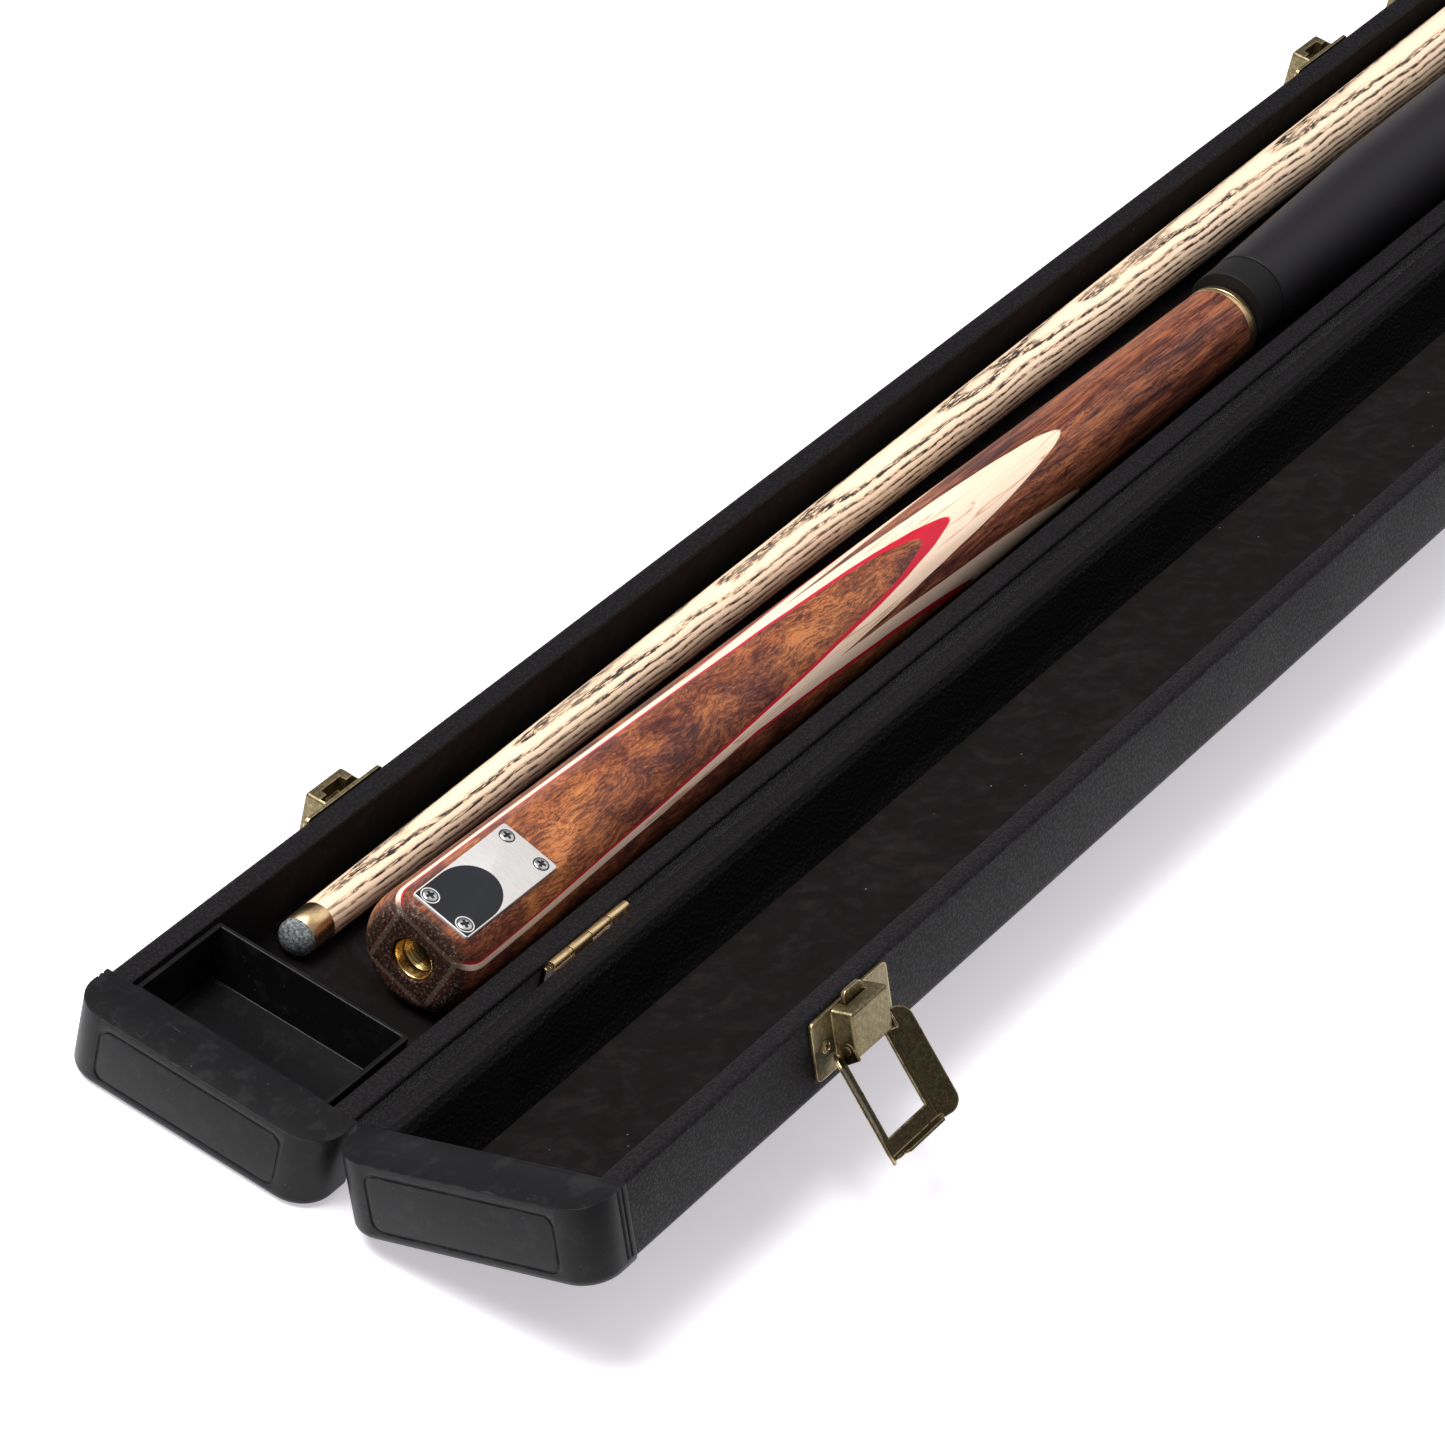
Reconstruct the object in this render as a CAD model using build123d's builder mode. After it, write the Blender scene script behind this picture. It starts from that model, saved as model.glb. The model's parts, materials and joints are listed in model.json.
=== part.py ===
from build123d import *
from math import cos, radians, sin
import os

# Two-tray cue case standing open: the base tray lies level and holds a jointed cue with its
# extension, the lid tray is folded open on three hinges until it meets its stop.
# Millimetres. X runs across the case (base towards -X, lid towards +X), Y along it from the
# near end (-Y) to the far end, Z up. The origin is the centre of the base tray's underside.

# ---- driving dimensions ----
case_length = 1152
tray_width = 67.5
tray_depth = 20
half_gap = 1.5  # hinge axis to either tray's side wall
seam = 0.15  # each tray's top edge below the hinge axis, so the closed halves don't rub
lid_rise = 22.2  # degrees that the lid's outer edge stands above level at its stop

skin = 0.6  # leatherette covering
rail_thick = 4.9
board_thick = 1.6
liner_thick = 0.7
side_liner_thick = 0.5
pad_foot = 13  # the padded hinge wall's reach at the lid's floor
pad_crest = (9.1, -3.3)
pad_round = 2.6

cap_depth = 14.2
cap_proud = 0.8
cap_corner = 9
cap_top = 1.85
cap_bottom_round = 2.5
rim_grooves = (10.6, 12.2)
panel_size = (50, 14.8)
panel_height = -9.6
panel_line = 0.7

box_length = 31.25
box_wall = 1.3
box_corner = 0.9

fitting_stations = (102, case_length / 2, case_length - 102)

butt_length = 375
butt_end_radius = 15.25
joint_radius = 10.7
shaft_length = 1033
shaft_tip_radius = 4.8

# ---- worked out from them ----
hinge_x = tray_width / 2 + half_gap
outer = half_gap + tray_width
wall_in = half_gap + skin
wood_out = outer - skin
rail_in = wall_in + rail_thick
rail_out = wood_out - rail_thick
wood_bottom = -tray_depth + skin
board_top = wood_bottom + board_thick
floor = board_top + liner_thick
wood_top = -seam - skin
under_cap = -seam - cap_top
middle = case_length / 2
rail_start = 7  # the rails stop short of the caps' rounded corners
block_start = 2.5
lid_out = Vector(cos(radians(lid_rise)), 0, sin(radians(lid_rise)))
lid_up = Vector(-sin(radians(lid_rise)), 0, cos(radians(lid_rise)))
parts = []


def base_section(station):
    """Cross-section plane of the base: x out from the hinge axis, y up from it."""
    return Plane(
        origin=(hinge_x, station - middle, tray_depth), x_dir=(-1, 0, 0), z_dir=(0, 1, 0)
    )


def lid_section(station):
    """The same for the lid, turned up about the hinge axis."""
    return Plane(
        origin=(hinge_x, station - middle, tray_depth), x_dir=lid_out, z_dir=(0, -1, 0)
    )


def wall_plane(section, station, out, height):
    """Plane facing out from a tray's side, with y up the tray."""
    cut = section(station)
    return Plane(
        origin=cut.from_local_coords((out, height, 0)), x_dir=-cut.z_dir, z_dir=cut.x_dir
    )


def top_plane(section, station, out, height):
    """Plane facing up from a tray, with x out from the hinge."""
    cut = section(station)
    return Plane(
        origin=cut.from_local_coords((out, height, 0)), x_dir=cut.x_dir, z_dir=cut.y_dir
    )


def keep(made, label):
    """Names a finished piece and lists it for writing."""
    made.part.label = label
    parts.append(made.part)


def span(low, high):
    """Middle and size of a stretch."""
    return (low + high) / 2, high - low


def bar(section, across, height, along, mode=Mode.ADD):
    """Straight rectangular bar along a tray, inside the current part."""
    out, width = span(*across)
    up, tall = span(*height)
    station, length = span(*along)
    with BuildSketch(section(station)) as profile:
        with Locations((out, up)):
            Rectangle(width, tall)
    extrude(profile.sketch, amount=length / 2, both=True, mode=mode)


def tray_outline(inset):
    """A tray's cross-section with round lower corners, in the current sketch."""
    width = tray_width - 2 * inset
    tall = tray_depth - seam - 2 * inset
    centre = half_gap + tray_width / 2
    up = -(tray_depth + seam) / 2
    with Locations((centre, up)):
        RectangleRounded(width, tall, cap_bottom_round - inset)
    with Locations((centre, up + tall / 4)):
        Rectangle(width, tall / 2)


# ---- the two trays ----
def rail(label, section, across):
    with BuildPart() as made:
        with BuildSketch(section(middle)):
            tray_outline(skin)
            out, width = span(*across)
            with Locations((out, (wood_bottom + wood_top) / 2)):
                Rectangle(width, tray_depth, mode=Mode.INTERSECT)
        extrude(amount=middle - rail_start, both=True)
        for end in (-1, 1):
            first = middle + end * (middle - cap_depth)
            last = middle + end * middle
            notch = (min(first, last), max(first, last))
            bar(section, across, (under_cap, 1), notch, Mode.SUBTRACT)
    keep(made, label)


def floor_board(label, section):
    with BuildPart() as made:
        along = (block_start, case_length - block_start)
        bar(section, (rail_in, rail_out), (wood_bottom, board_top), along)
    keep(made, label)


def end_block(label, section, along):
    with BuildPart() as made:
        bar(section, (rail_in, rail_out), (board_top, under_cap), along)
    keep(made, label)


def covering(label, section):
    """Leatherette round the outside and over both rails."""
    with BuildPart() as made:
        with BuildSketch(section(middle)):
            tray_outline(0)
            with BuildSketch(Plane.XY, mode=Mode.SUBTRACT):
                tray_outline(skin)
            inner, width = span(rail_in + side_liner_thick, rail_out - side_liner_thick)
            with Locations((inner, wood_bottom + tray_depth / 2)):
                Rectangle(width, tray_depth, mode=Mode.SUBTRACT)
        extrude(amount=middle - cap_depth, both=True)
    keep(made, label)


def floor_liner(label, section):
    with BuildPart() as made:
        along = (cap_depth, case_length - cap_depth)
        bar(section, (rail_in, rail_out), (board_top, floor), along)
    keep(made, label)


def side_liner(label, section, across):
    with BuildPart() as made:
        along = (cap_depth, case_length - cap_depth)
        bar(section, across, (floor, wood_top), along)
    keep(made, label)


def end_cap(label, section, direction):
    """Moulded cap; direction is 1 at the near end and -1 at the far end."""
    end = middle - direction * middle
    centre = half_gap + tray_width / 2

    def stretch(first, last):
        return tuple(sorted((end + direction * first, end + direction * last)))

    with BuildPart() as made:
        across = (half_gap - cap_proud, outer + cap_proud)
        bar(section, across, (-tray_depth, -seam), stretch(0, cap_depth))
        up = Axis(origin=(0, 0, 0), direction=tuple(section(end).y_dir))
        along = Axis(origin=(0, 0, 0), direction=(0, direction, 0))
        fillet(made.edges().filter_by(up).group_by(along)[0], cap_corner)
        low = made.faces().sort_by(up)[0].edges()
        fillet(low.sort_by(along)[:-1], cap_bottom_round)
        # room for the wooden rails, the board and the end block
        middle_room = stretch(block_start, cap_depth)
        bar(section, (rail_in, rail_out), (wood_bottom, under_cap), middle_room, Mode.SUBTRACT)
        for side in ((wall_in, rail_in), (rail_out, wood_out)):
            side_room = stretch(rail_start, cap_depth)
            bar(section, side, (wood_bottom, under_cap), side_room, Mode.SUBTRACT)
        # two grooves that follow the rim down the outer side
        groove_across = (outer + cap_proud - 0.3, outer + 2)
        for groove in rim_grooves:
            wide = stretch(groove, groove + 0.6)
            bar(section, groove_across, (-tray_depth + 3, 1), wide, Mode.SUBTRACT)
        # the outlined panel on the end face
        face = section(end)
        normal = Vector(0, -direction, 0)
        panel_origin = face.from_local_coords((centre, panel_height, 0))
        with BuildSketch(Plane(origin=panel_origin, x_dir=face.x_dir, z_dir=normal)):
            RectangleRounded(*panel_size, 3)
            inner_size = [side - 2 * panel_line for side in panel_size]
            RectangleRounded(*inner_size, 3 - panel_line, mode=Mode.SUBTRACT)
        extrude(amount=-panel_line / 2, mode=Mode.SUBTRACT)
    keep(made, label)


def build_tray(name, section, outer_name):
    floor_board(name + "_floor_board", section)
    rail(name + "_" + outer_name + "_rail", section, (rail_out, wood_out))
    rail(name + "_hinge_rail", section, (wall_in, rail_in))
    far_block = (case_length - cap_depth, case_length - block_start)
    end_block(name + "_near_block", section, (block_start, cap_depth))
    end_block(name + "_far_block", section, far_block)
    covering(name + "_covering", section)
    floor_liner(name + "_floor_liner", section)
    side_liner(name + "_" + outer_name + "_liner", section,
               (rail_out - side_liner_thick, rail_out))
    end_cap(name + "_near_cap", section, 1)
    end_cap(name + "_far_cap", section, -1)


build_tray("base", base_section, "front")
build_tray("lid", lid_section, "outer")
side_liner("base_hinge_liner", base_section, (rail_in, rail_in + side_liner_thick))

# The lid's hinge side has a padded leatherette wall that slopes down to the floor.
with BuildPart() as hinge_pad:
    with BuildSketch(lid_section(middle)) as pad_profile:
        with BuildLine():
            pad_top = (rail_in + side_liner_thick, wood_top)
            Polyline((rail_in, floor), (pad_foot, floor), pad_crest, pad_top,
                     (rail_in, wood_top), close=True)
        make_face()
        crest = pad_profile.vertices().sort_by_distance(pad_crest)[0]
        fillet(crest, pad_round)
    extrude(amount=middle - cap_depth, both=True)
keep(hinge_pad, "lid_hinge_pad")

# ---- accessory box behind the base's near cap ----
box_near = 14.25
box_across = (9.2, 62.3)
box_rim = -0.9
box_out, box_width = span(*box_across)
with BuildPart() as accessory_box:
    bar(base_section, box_across, (floor, box_rim), (box_near, box_near + box_length))
    fillet(accessory_box.edges().filter_by(Axis.Z), box_corner)
    inner_box = Plane(
        origin=base_section(box_near + box_length / 2).from_local_coords((box_out, box_rim, 0)),
        x_dir=(-1, 0, 0),
        z_dir=(0, 0, 1),
    )
    with BuildSketch(inner_box):
        RectangleRounded(box_width - 2 * box_wall, box_length - 2 * box_wall, box_corner / 2)
    extrude(amount=-(box_rim - floor - box_wall), mode=Mode.SUBTRACT)
keep(accessory_box, "accessory_box")

# ---- hinges ----
hinge_length = 30.4
knuckle_count = 4
knuckle_gap = 0.3
knuckle_radius = 1.25
pin_radius = 0.5
leaf_thick = 0.7
leaf_height = (-11.5, -1.45)
pitch = hinge_length / knuckle_count
screw_shifts = (-9.5, 9.5)
hinge_screw = 1.5
hinge_screw_height = -6.5
shank_share = 0.55  # of a screw head's radius


def screw_holes(section, stations, out, height, radius, thick):
    """Holes for a plate's screws, cut from the current part."""
    for station in stations:
        with BuildSketch(wall_plane(section, station, out, height)) as hole:
            Circle(radius)
        extrude(hole.sketch, amount=thick, both=True, mode=Mode.SUBTRACT)


def hinge_leaf(label, section, station, first_knuckle, bore):
    start = station - hinge_length / 2
    with BuildPart() as made:
        bar(section, (half_gap - leaf_thick, half_gap), leaf_height,
            (start, start + hinge_length))
        for number in range(first_knuckle, knuckle_count, 2):
            centre = start + (number + 0.5) * pitch
            with BuildSketch(section(centre)):
                Circle(knuckle_radius)
                with Locations((0.9, -0.75)):
                    Rectangle(0.7, 1.5)
                Circle(bore, mode=Mode.SUBTRACT)
            extrude(amount=(pitch - knuckle_gap) / 2, both=True)
        places = [station + shift for shift in screw_shifts]
        screw_holes(section, places, half_gap, hinge_screw_height, hinge_screw * shank_share, 1)
    keep(made, label)


def screw(section, station, out, height, head_radius, head_rise, length, outward=1):
    """Domed countersunk screw whose head sits on the plane at 'out', in the current part."""
    facing = wall_plane(section, station, out, height)
    if outward < 0:
        facing = Plane(origin=facing.origin, x_dir=facing.x_dir, z_dir=-facing.z_dir)
    with BuildSketch(facing) as head:
        Circle(head_radius)
    extrude(head.sketch, amount=head_rise, taper=35)
    with BuildSketch(facing) as shank:
        Circle(head_radius * shank_share)
    extrude(shank.sketch, amount=-length)


for name, station in zip(("near", "middle", "far"), fitting_stations):
    hinge_leaf("hinge_base_leaf_" + name, base_section, station, 0, pin_radius)
    hinge_leaf("hinge_lid_leaf_" + name, lid_section, station, 1, pin_radius + 0.05)

with BuildPart() as hinge_pins:
    for station in fitting_stations:
        with BuildSketch(base_section(station)):
            Circle(pin_radius)
        extrude(amount=hinge_length / 2 - 0.4, both=True)
keep(hinge_pins, "hinge_pins")

for name, section in (("base", base_section), ("lid", lid_section)):
    with BuildPart() as hinge_screws:
        for station in fitting_stations:
            for shift in screw_shifts:
                screw(section, station + shift, half_gap - leaf_thick, hinge_screw_height,
                      hinge_screw, 0.35, 4.5, -1)
    keep(hinge_screws, "hinge_" + name + "_screws")

# ---- latches: spring box, tongue and bail on the lid, keeper box on the base ----
keeper_plate = (29.6, -14.8, -0.3)  # length, lower and upper edge
latch_plate = (31.4, -16.2, -1.4)
keeper_box = (14, -14.8, -0.3)
latch_box = (15, -13.5, -2.0)
plate_thick = 0.8
fitting_proud = 6.4
fitting_screw = 1.6
fitting_screw_shifts = (-11, 11)
keeper_screw_height = -8.4
latch_screw_height = -9.1
tongue_width = 7.4
tongue_across = (outer + 1.3, outer + 2.2)
tongue_top = 0.8
slot_bottom = -4.5
slot_width = 12.4
recess_width = 7.6
recess_out = outer + 4.3
fit_gap = 0.35
latch_pin_radius = 0.8
latch_pin_out = outer + 4.4
latch_pin_height = -11
ear_half_width = 8.25
ear_radius = 1.7
bail_splay = 26  # degrees out from the lid's side when it hangs open


def fitting_body(section, station, plate_size, box_size, screw_height):
    """Screwed plate with its pressed box, in the current part."""
    length, low, high = plate_size
    up, tall = span(low, high)
    with BuildSketch(wall_plane(section, station, outer, up)) as plate:
        RectangleRounded(length, tall, 1.6)
    extrude(plate.sketch, amount=plate_thick)
    places = [station + shift for shift in fitting_screw_shifts]
    screw_holes(section, places, outer, screw_height, fitting_screw * shank_share, plate_thick)
    width, low, high = box_size
    up, tall = span(low, high)
    with BuildSketch(wall_plane(section, station, outer, up)) as box:
        RectangleRounded(width, tall, 0.9)
    extrude(box.sketch, amount=fitting_proud)


def round_box_face(made, section):
    out = Axis(origin=(0, 0, 0), direction=tuple(section(middle).x_dir))
    fillet(made.faces().filter_by(out).sort_by(out)[-1].edges(), 0.8)


def slot(section, station, across, width):
    """Slot down into a box's top, cut from the current part."""
    along = (station - width / 2, station + width / 2)
    bar(section, across, (slot_bottom, 1), along, Mode.SUBTRACT)


def keeper(label, station):
    with BuildPart() as made:
        fitting_body(base_section, station, keeper_plate, keeper_box, keeper_screw_height)
        round_box_face(made, base_section)
        slot_across = (tongue_across[0] - fit_gap, tongue_across[1] + fit_gap)
        slot(base_section, station, slot_across, slot_width)
        slot(base_section, station, (tongue_across[0], recess_out), recess_width)
    keep(made, label)


def latch(label, station):
    with BuildPart() as made:
        fitting_body(lid_section, station, latch_plate, latch_box, latch_screw_height)
        round_box_face(made, lid_section)
        pocket = (tongue_across[0] - fit_gap, tongue_across[1] + 2 * fit_gap)
        slot(lid_section, station, pocket, tongue_width + 2 * fit_gap)
        out, thick = span(*tongue_across)
        root = slot_bottom - 1
        up, tall = span(root, tongue_top)
        with BuildSketch(wall_plane(lid_section, station, tongue_across[0], up)) as tongue:
            RectangleRounded(tongue_width, tall, 1.5)
        extrude(tongue.sketch, amount=thick)
        with BuildSketch(lid_section(station)) as pin_hole:
            with Locations((latch_pin_out, latch_pin_height)):
                Circle(latch_pin_radius)
        extrude(pin_hole.sketch, amount=latch_box[0], both=True, mode=Mode.SUBTRACT)
    keep(made, label)


# A bail is drawn in its own plane: x is the side its sheet lies on when latched, y its reach.
bail_turn = radians(180 - bail_splay)
bail_reach = lid_up * cos(bail_turn) + lid_out * sin(bail_turn)
bail_side = lid_out * cos(bail_turn) - lid_up * sin(bail_turn)
sheet = 0.7
sheet_offset = 2.8
strip_inner = 7.85
strip_outer = strip_inner + 1.6
flange_width = 6.5
flange_slope = radians(40)
flange_start = -0.5
flange_round = 3.6
bail_start = 0.8
bail_window = 22.2
bail_end = 27.2
lip_start = 26.1
lip_steps = ((20, 0.6), (15.4, -1.2))  # width and how far in it reaches


def bail_section(station):
    pin = lid_section(station).from_local_coords((latch_pin_out, latch_pin_height, 0))
    return Plane(origin=pin, x_dir=bail_side, z_dir=(0, -1, 0))


def bail(label, station):
    cut = bail_section(station)
    with BuildPart() as made:
        # side strips and end bar of the flat sheet
        sheet_plane = Plane(
            origin=cut.from_local_coords((sheet_offset, 0, 0)), x_dir=(0, 1, 0), z_dir=bail_side
        )
        with BuildSketch(sheet_plane):
            with Locations((0, (bail_start + bail_end) / 2)):
                Rectangle(2 * strip_outer, bail_end - bail_start)
            with Locations((0, (bail_start + bail_window) / 2)):
                Rectangle(2 * strip_inner, bail_window - bail_start, mode=Mode.SUBTRACT)
        extrude(amount=sheet / 2, both=True)
        # flanges that slope back to the case's side
        flange_length = bail_end - flange_start
        for side in (-1, 1):
            away = Vector(0, side * cos(flange_slope), 0) - bail_side * sin(flange_slope)
            root = cut.origin + bail_side * sheet_offset + Vector(0, side * strip_outer, 0)
            root = root + bail_reach * (flange_start + flange_length / 2)
            leaning = Plane(origin=root, x_dir=bail_reach, z_dir=bail_reach.cross(away))
            with BuildSketch(leaning) as flange:
                with Locations((0, (flange_width - sheet / 2) / 2)):
                    Rectangle(flange_length, flange_width + sheet / 2)
                fillet(flange.vertices().group_by(Axis.Y)[-1], flange_round)
            extrude(amount=sheet / 2, both=True)
        # stepped lip that hooks under the keeper
        for width, reach in lip_steps:
            lip_mid, lip_tall = span(reach, sheet_offset + sheet / 2)
            lip_plane = Plane(
                origin=cut.from_local_coords((lip_mid, lip_start, 0)),
                x_dir=(0, 1, 0),
                z_dir=bail_reach,
            )
            with BuildSketch(lip_plane):
                RectangleRounded(width, lip_tall, 1)
            extrude(amount=sheet)
        # ears on the pin
        for side in (-1, 1):
            ear = cut.offset(side * (ear_half_width - sheet / 2))
            with BuildSketch(ear):
                Circle(ear_radius)
                with Locations((sheet_offset / 2 + sheet / 4 - ear_radius / 2, 1.9)):
                    Rectangle(sheet_offset + sheet / 2 + ear_radius, 2.6)
                Circle(latch_pin_radius + 0.05, mode=Mode.SUBTRACT)
            extrude(amount=sheet / 2, both=True)
    keep(made, label)


for name, station in zip(("near", "middle", "far"), fitting_stations):
    keeper("keeper_" + name, station)
    latch("latch_" + name, station)
    bail("bail_" + name, station)

with BuildPart() as latch_pins:
    for station in fitting_stations:
        with BuildSketch(lid_section(station)):
            with Locations((latch_pin_out, latch_pin_height)):
                Circle(latch_pin_radius)
        extrude(amount=ear_half_width + 0.5, both=True)
keep(latch_pins, "latch_pins")

for name, section, height in (
    ("keeper", base_section, keeper_screw_height),
    ("latch", lid_section, latch_screw_height),
):
    with BuildPart() as fitting_screws:
        for station in fitting_stations:
            for shift in fitting_screw_shifts:
                screw(section, station + shift, outer + plate_thick, height, fitting_screw, 0.5, 5)
    keep(fitting_screws, name + "_screws")

# ---- carrying handle on the base's front side, past the middle keeper ----
handle_stations = (626, 738)
strap_thick = 2.6
strap_height = 13
strap_bow = 20
handle_height = -tray_depth / 2
foot = 13
handle_mid, handle_span = span(*handle_stations)
handle_plane = top_plane(base_section, handle_mid, outer, handle_height)
with BuildPart() as handle_strap:
    half = handle_span / 2
    bend = half - foot
    with BuildSketch(handle_plane):
        with BuildLine():
            Polyline((0, -bend), (0, -half), (strap_thick, -half), (strap_thick, -bend))
            ThreePointArc((strap_thick, -bend), (strap_bow + strap_thick, 0), (strap_thick, bend))
            Polyline((strap_thick, bend), (strap_thick, half), (0, half), (0, bend))
            ThreePointArc((0, bend), (strap_bow, 0), (0, -bend))
        make_face()
    extrude(amount=strap_height / 2, both=True)
keep(handle_strap, "handle_strap")

with BuildPart() as handle_brackets:
    for end in (-1, 1):
        station = handle_mid + end * (handle_span / 2 - foot / 2 + 0.5)
        with BuildSketch(wall_plane(base_section, station, outer, handle_height)):
            RectangleRounded(foot + 1, strap_height + 3, 2)
        extrude(amount=strap_thick + 1.2)
    bar(base_section, (outer - 1, outer + strap_thick), (handle_height - strap_height / 2,
        handle_height + strap_height / 2), (handle_stations[0], handle_stations[1]), Mode.SUBTRACT)
keep(handle_brackets, "handle_brackets")

# ---- the jointed cue and its extension ----
base_floor = tray_depth + floor
rest_gap = 0.05
butt_near = 67.5
butt_x = (hinge_x - 24.5, hinge_x - 24.5)
shaft_x = (hinge_x - 53.4, hinge_x - 51.5)  # at its tip and at its joint
tip_length = 4
ferrule_length = 7.5
shaft_near = 66
ring_length = 4
butt_roll = 12  # degrees that the badge side leans towards the hinge


def lying_axis(x, station, first_radius, last_radius, length):
    """Frame of a tapered rod lying on the floor liner: its Z runs along the rod."""
    start = Vector(x[0], station - middle, base_floor + rest_gap + first_radius)
    finish = Vector(x[1], station - middle + length, base_floor + rest_gap + last_radius)
    return Plane(origin=start, x_dir=(1, 0, 0), z_dir=(finish - start).normalized())


def turned(frame, outline):
    """Solid of revolution from (along, radius) points, in the current part."""
    lathe = Plane(origin=frame.origin, x_dir=frame.z_dir, z_dir=frame.x_dir)
    with BuildSketch(lathe) as profile:
        with BuildLine():
            Polyline(*outline, close=True)
        make_face()
    revolve(profile.sketch, axis=Axis(origin=tuple(frame.origin), direction=tuple(frame.z_dir)))


shaft_slope = (joint_radius - shaft_tip_radius) / shaft_length
shaft_axis = lying_axis(shaft_x, shaft_near, shaft_tip_radius, joint_radius, shaft_length)
butt_slope = (joint_radius - butt_end_radius) / butt_length
butt_axis = lying_axis(butt_x, butt_near, butt_end_radius, joint_radius, butt_length)

with BuildPart() as shaft_tip:
    turned(shaft_axis, [(-tip_length, 0), (-tip_length, 1.6), (-tip_length + 0.7, 3.2),
                        (-tip_length + 1.8, 4.3), (-1.2, 4.6), (0, 4.6), (0, 0)])
keep(shaft_tip, "shaft_tip")

with BuildPart() as shaft_ferrule:
    end_radius = shaft_tip_radius + shaft_slope * ferrule_length
    turned(shaft_axis, [(0, 0), (0, shaft_tip_radius), (ferrule_length, end_radius),
                        (ferrule_length, 0)])
keep(shaft_ferrule, "shaft_ferrule")

with BuildPart() as shaft_wood:
    last = shaft_length - ring_length
    turned(shaft_axis, [(ferrule_length, 0), (ferrule_length, end_radius),
                        (last, shaft_tip_radius + shaft_slope * last), (last, 0)])
keep(shaft_wood, "shaft_wood")

with BuildPart() as shaft_joint:
    turned(shaft_axis, [(last, 0), (last, joint_radius), (shaft_length, joint_radius),
                        (shaft_length, 4.2), (shaft_length + 14, 4.2),
                        (shaft_length + 15, 3.4), (shaft_length + 15, 0)])
keep(shaft_joint, "shaft_joint")

bush_radius = 5.5
bush_bore = 4.8
bush_depth = 14
with BuildPart() as butt_bush:
    turned(butt_axis, [(0.6, bush_bore), (0.6, bush_radius), (bush_depth, bush_radius),
                       (bush_depth, bush_bore)])
keep(butt_bush, "butt_bush")

# A flat along the top of the butt carries the badge, then runs out to the round.
flat_radius = 12.4
badge_size = (36, 16.2)
badge_thick = 0.8
badge_middle = 21.5
lean = radians(butt_roll)
badge_up = butt_axis.y_dir * -cos(lean) + butt_axis.x_dir * sin(lean)
if badge_up.Z < 0:
    badge_up = butt_axis.y_dir * cos(lean) + butt_axis.x_dir * sin(lean)
badge_across = butt_axis.z_dir.cross(badge_up)
butt_joint_start = butt_length - ring_length
with BuildPart() as butt_wood:
    turned(butt_axis, [(0, bush_radius), (0, 11.2), (0.7, 12.9), (2.2, 14.2), (4.6, 14.9),
                       (8, butt_end_radius + 8 * butt_slope),
                       (butt_joint_start, butt_end_radius + butt_joint_start * butt_slope),
                       (butt_joint_start, 0), (bush_depth, 0), (bush_depth, bush_radius)])
    side_view = Plane(origin=butt_axis.origin, x_dir=butt_axis.z_dir, z_dir=-badge_across)
    if side_view.y_dir.Z < 0:
        side_view = Plane(origin=butt_axis.origin, x_dir=butt_axis.z_dir, z_dir=badge_across)
    with BuildSketch(side_view):
        with BuildLine():
            Polyline((-1, flat_radius), (41.5, flat_radius), (62, 15.6), (62, 20), (-1, 20),
                     close=True)
        make_face()
    extrude(amount=20, both=True, mode=Mode.SUBTRACT)
keep(butt_wood, "butt_wood")

badge_plane = Plane(
    origin=butt_axis.origin + butt_axis.z_dir * badge_middle + badge_up * flat_radius,
    x_dir=butt_axis.z_dir,
    z_dir=badge_up,
)
badge_holes = (30.2, 10.3)
with BuildPart() as badge_plate:
    with BuildSketch(badge_plane):
        RectangleRounded(*badge_size, 0.9)
        with GridLocations(*badge_holes, 2, 2):
            Circle(0.8, mode=Mode.SUBTRACT)
    extrude(amount=badge_thick)
keep(badge_plate, "badge_plate")

with BuildPart() as badge_screws:
    with BuildSketch(badge_plane):
        with GridLocations(*badge_holes, 2, 2):
            Circle(0.8)
    extrude(amount=badge_thick)
    with BuildSketch(badge_plane.offset(badge_thick)):
        with GridLocations(*badge_holes, 2, 2):
            Circle(1.5)
    extrude(amount=0.45, taper=30)
keep(badge_screws, "badge_screws")

with BuildPart() as butt_joint:
    turned(butt_axis, [(butt_joint_start, 0), (butt_joint_start, joint_radius + 0.1),
                       (butt_length, joint_radius), (butt_length, 4.3),
                       (butt_length - 3, 4.3), (butt_length - 3, 0)])
keep(butt_joint, "butt_joint")

extension_near = 443
collar_radius = 11.2
collar_length = 11.5
tube_radius = 14
tube_mouth = 11.4
tube_taper = 75
tube_bore = 10.2
tube_length = 598
cap_length = 14
extension_axis = lying_axis(butt_x, extension_near, tube_radius, tube_radius, tube_length)
with BuildPart() as extension_collar:
    turned(extension_axis, [(0, 5), (0, collar_radius - 0.6), (0.8, collar_radius),
                            (collar_length, collar_radius), (collar_length, 5)])
keep(extension_collar, "extension_collar")

tube_end = collar_length + tube_length
with BuildPart() as extension_tube:
    turned(extension_axis, [(collar_length, tube_bore), (collar_length, tube_mouth - 0.3),
                            (collar_length + 0.3, tube_mouth),
                            (collar_length + tube_taper, tube_radius), (tube_end, tube_radius),
                            (tube_end, tube_bore)])
keep(extension_tube, "extension_tube")

with BuildPart() as extension_cap:
    turned(extension_axis, [(tube_end, 0), (tube_end, tube_radius),
                            (tube_end + cap_length - 3, tube_radius),
                            (tube_end + cap_length, tube_radius - 3), (tube_end + cap_length, 0)])
keep(extension_cap, "extension_cap")

os.makedirs("parts", exist_ok=True)
for part in parts:
    export_step(part, "parts/" + part.label + ".step")
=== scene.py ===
import json
import math
import random

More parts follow.
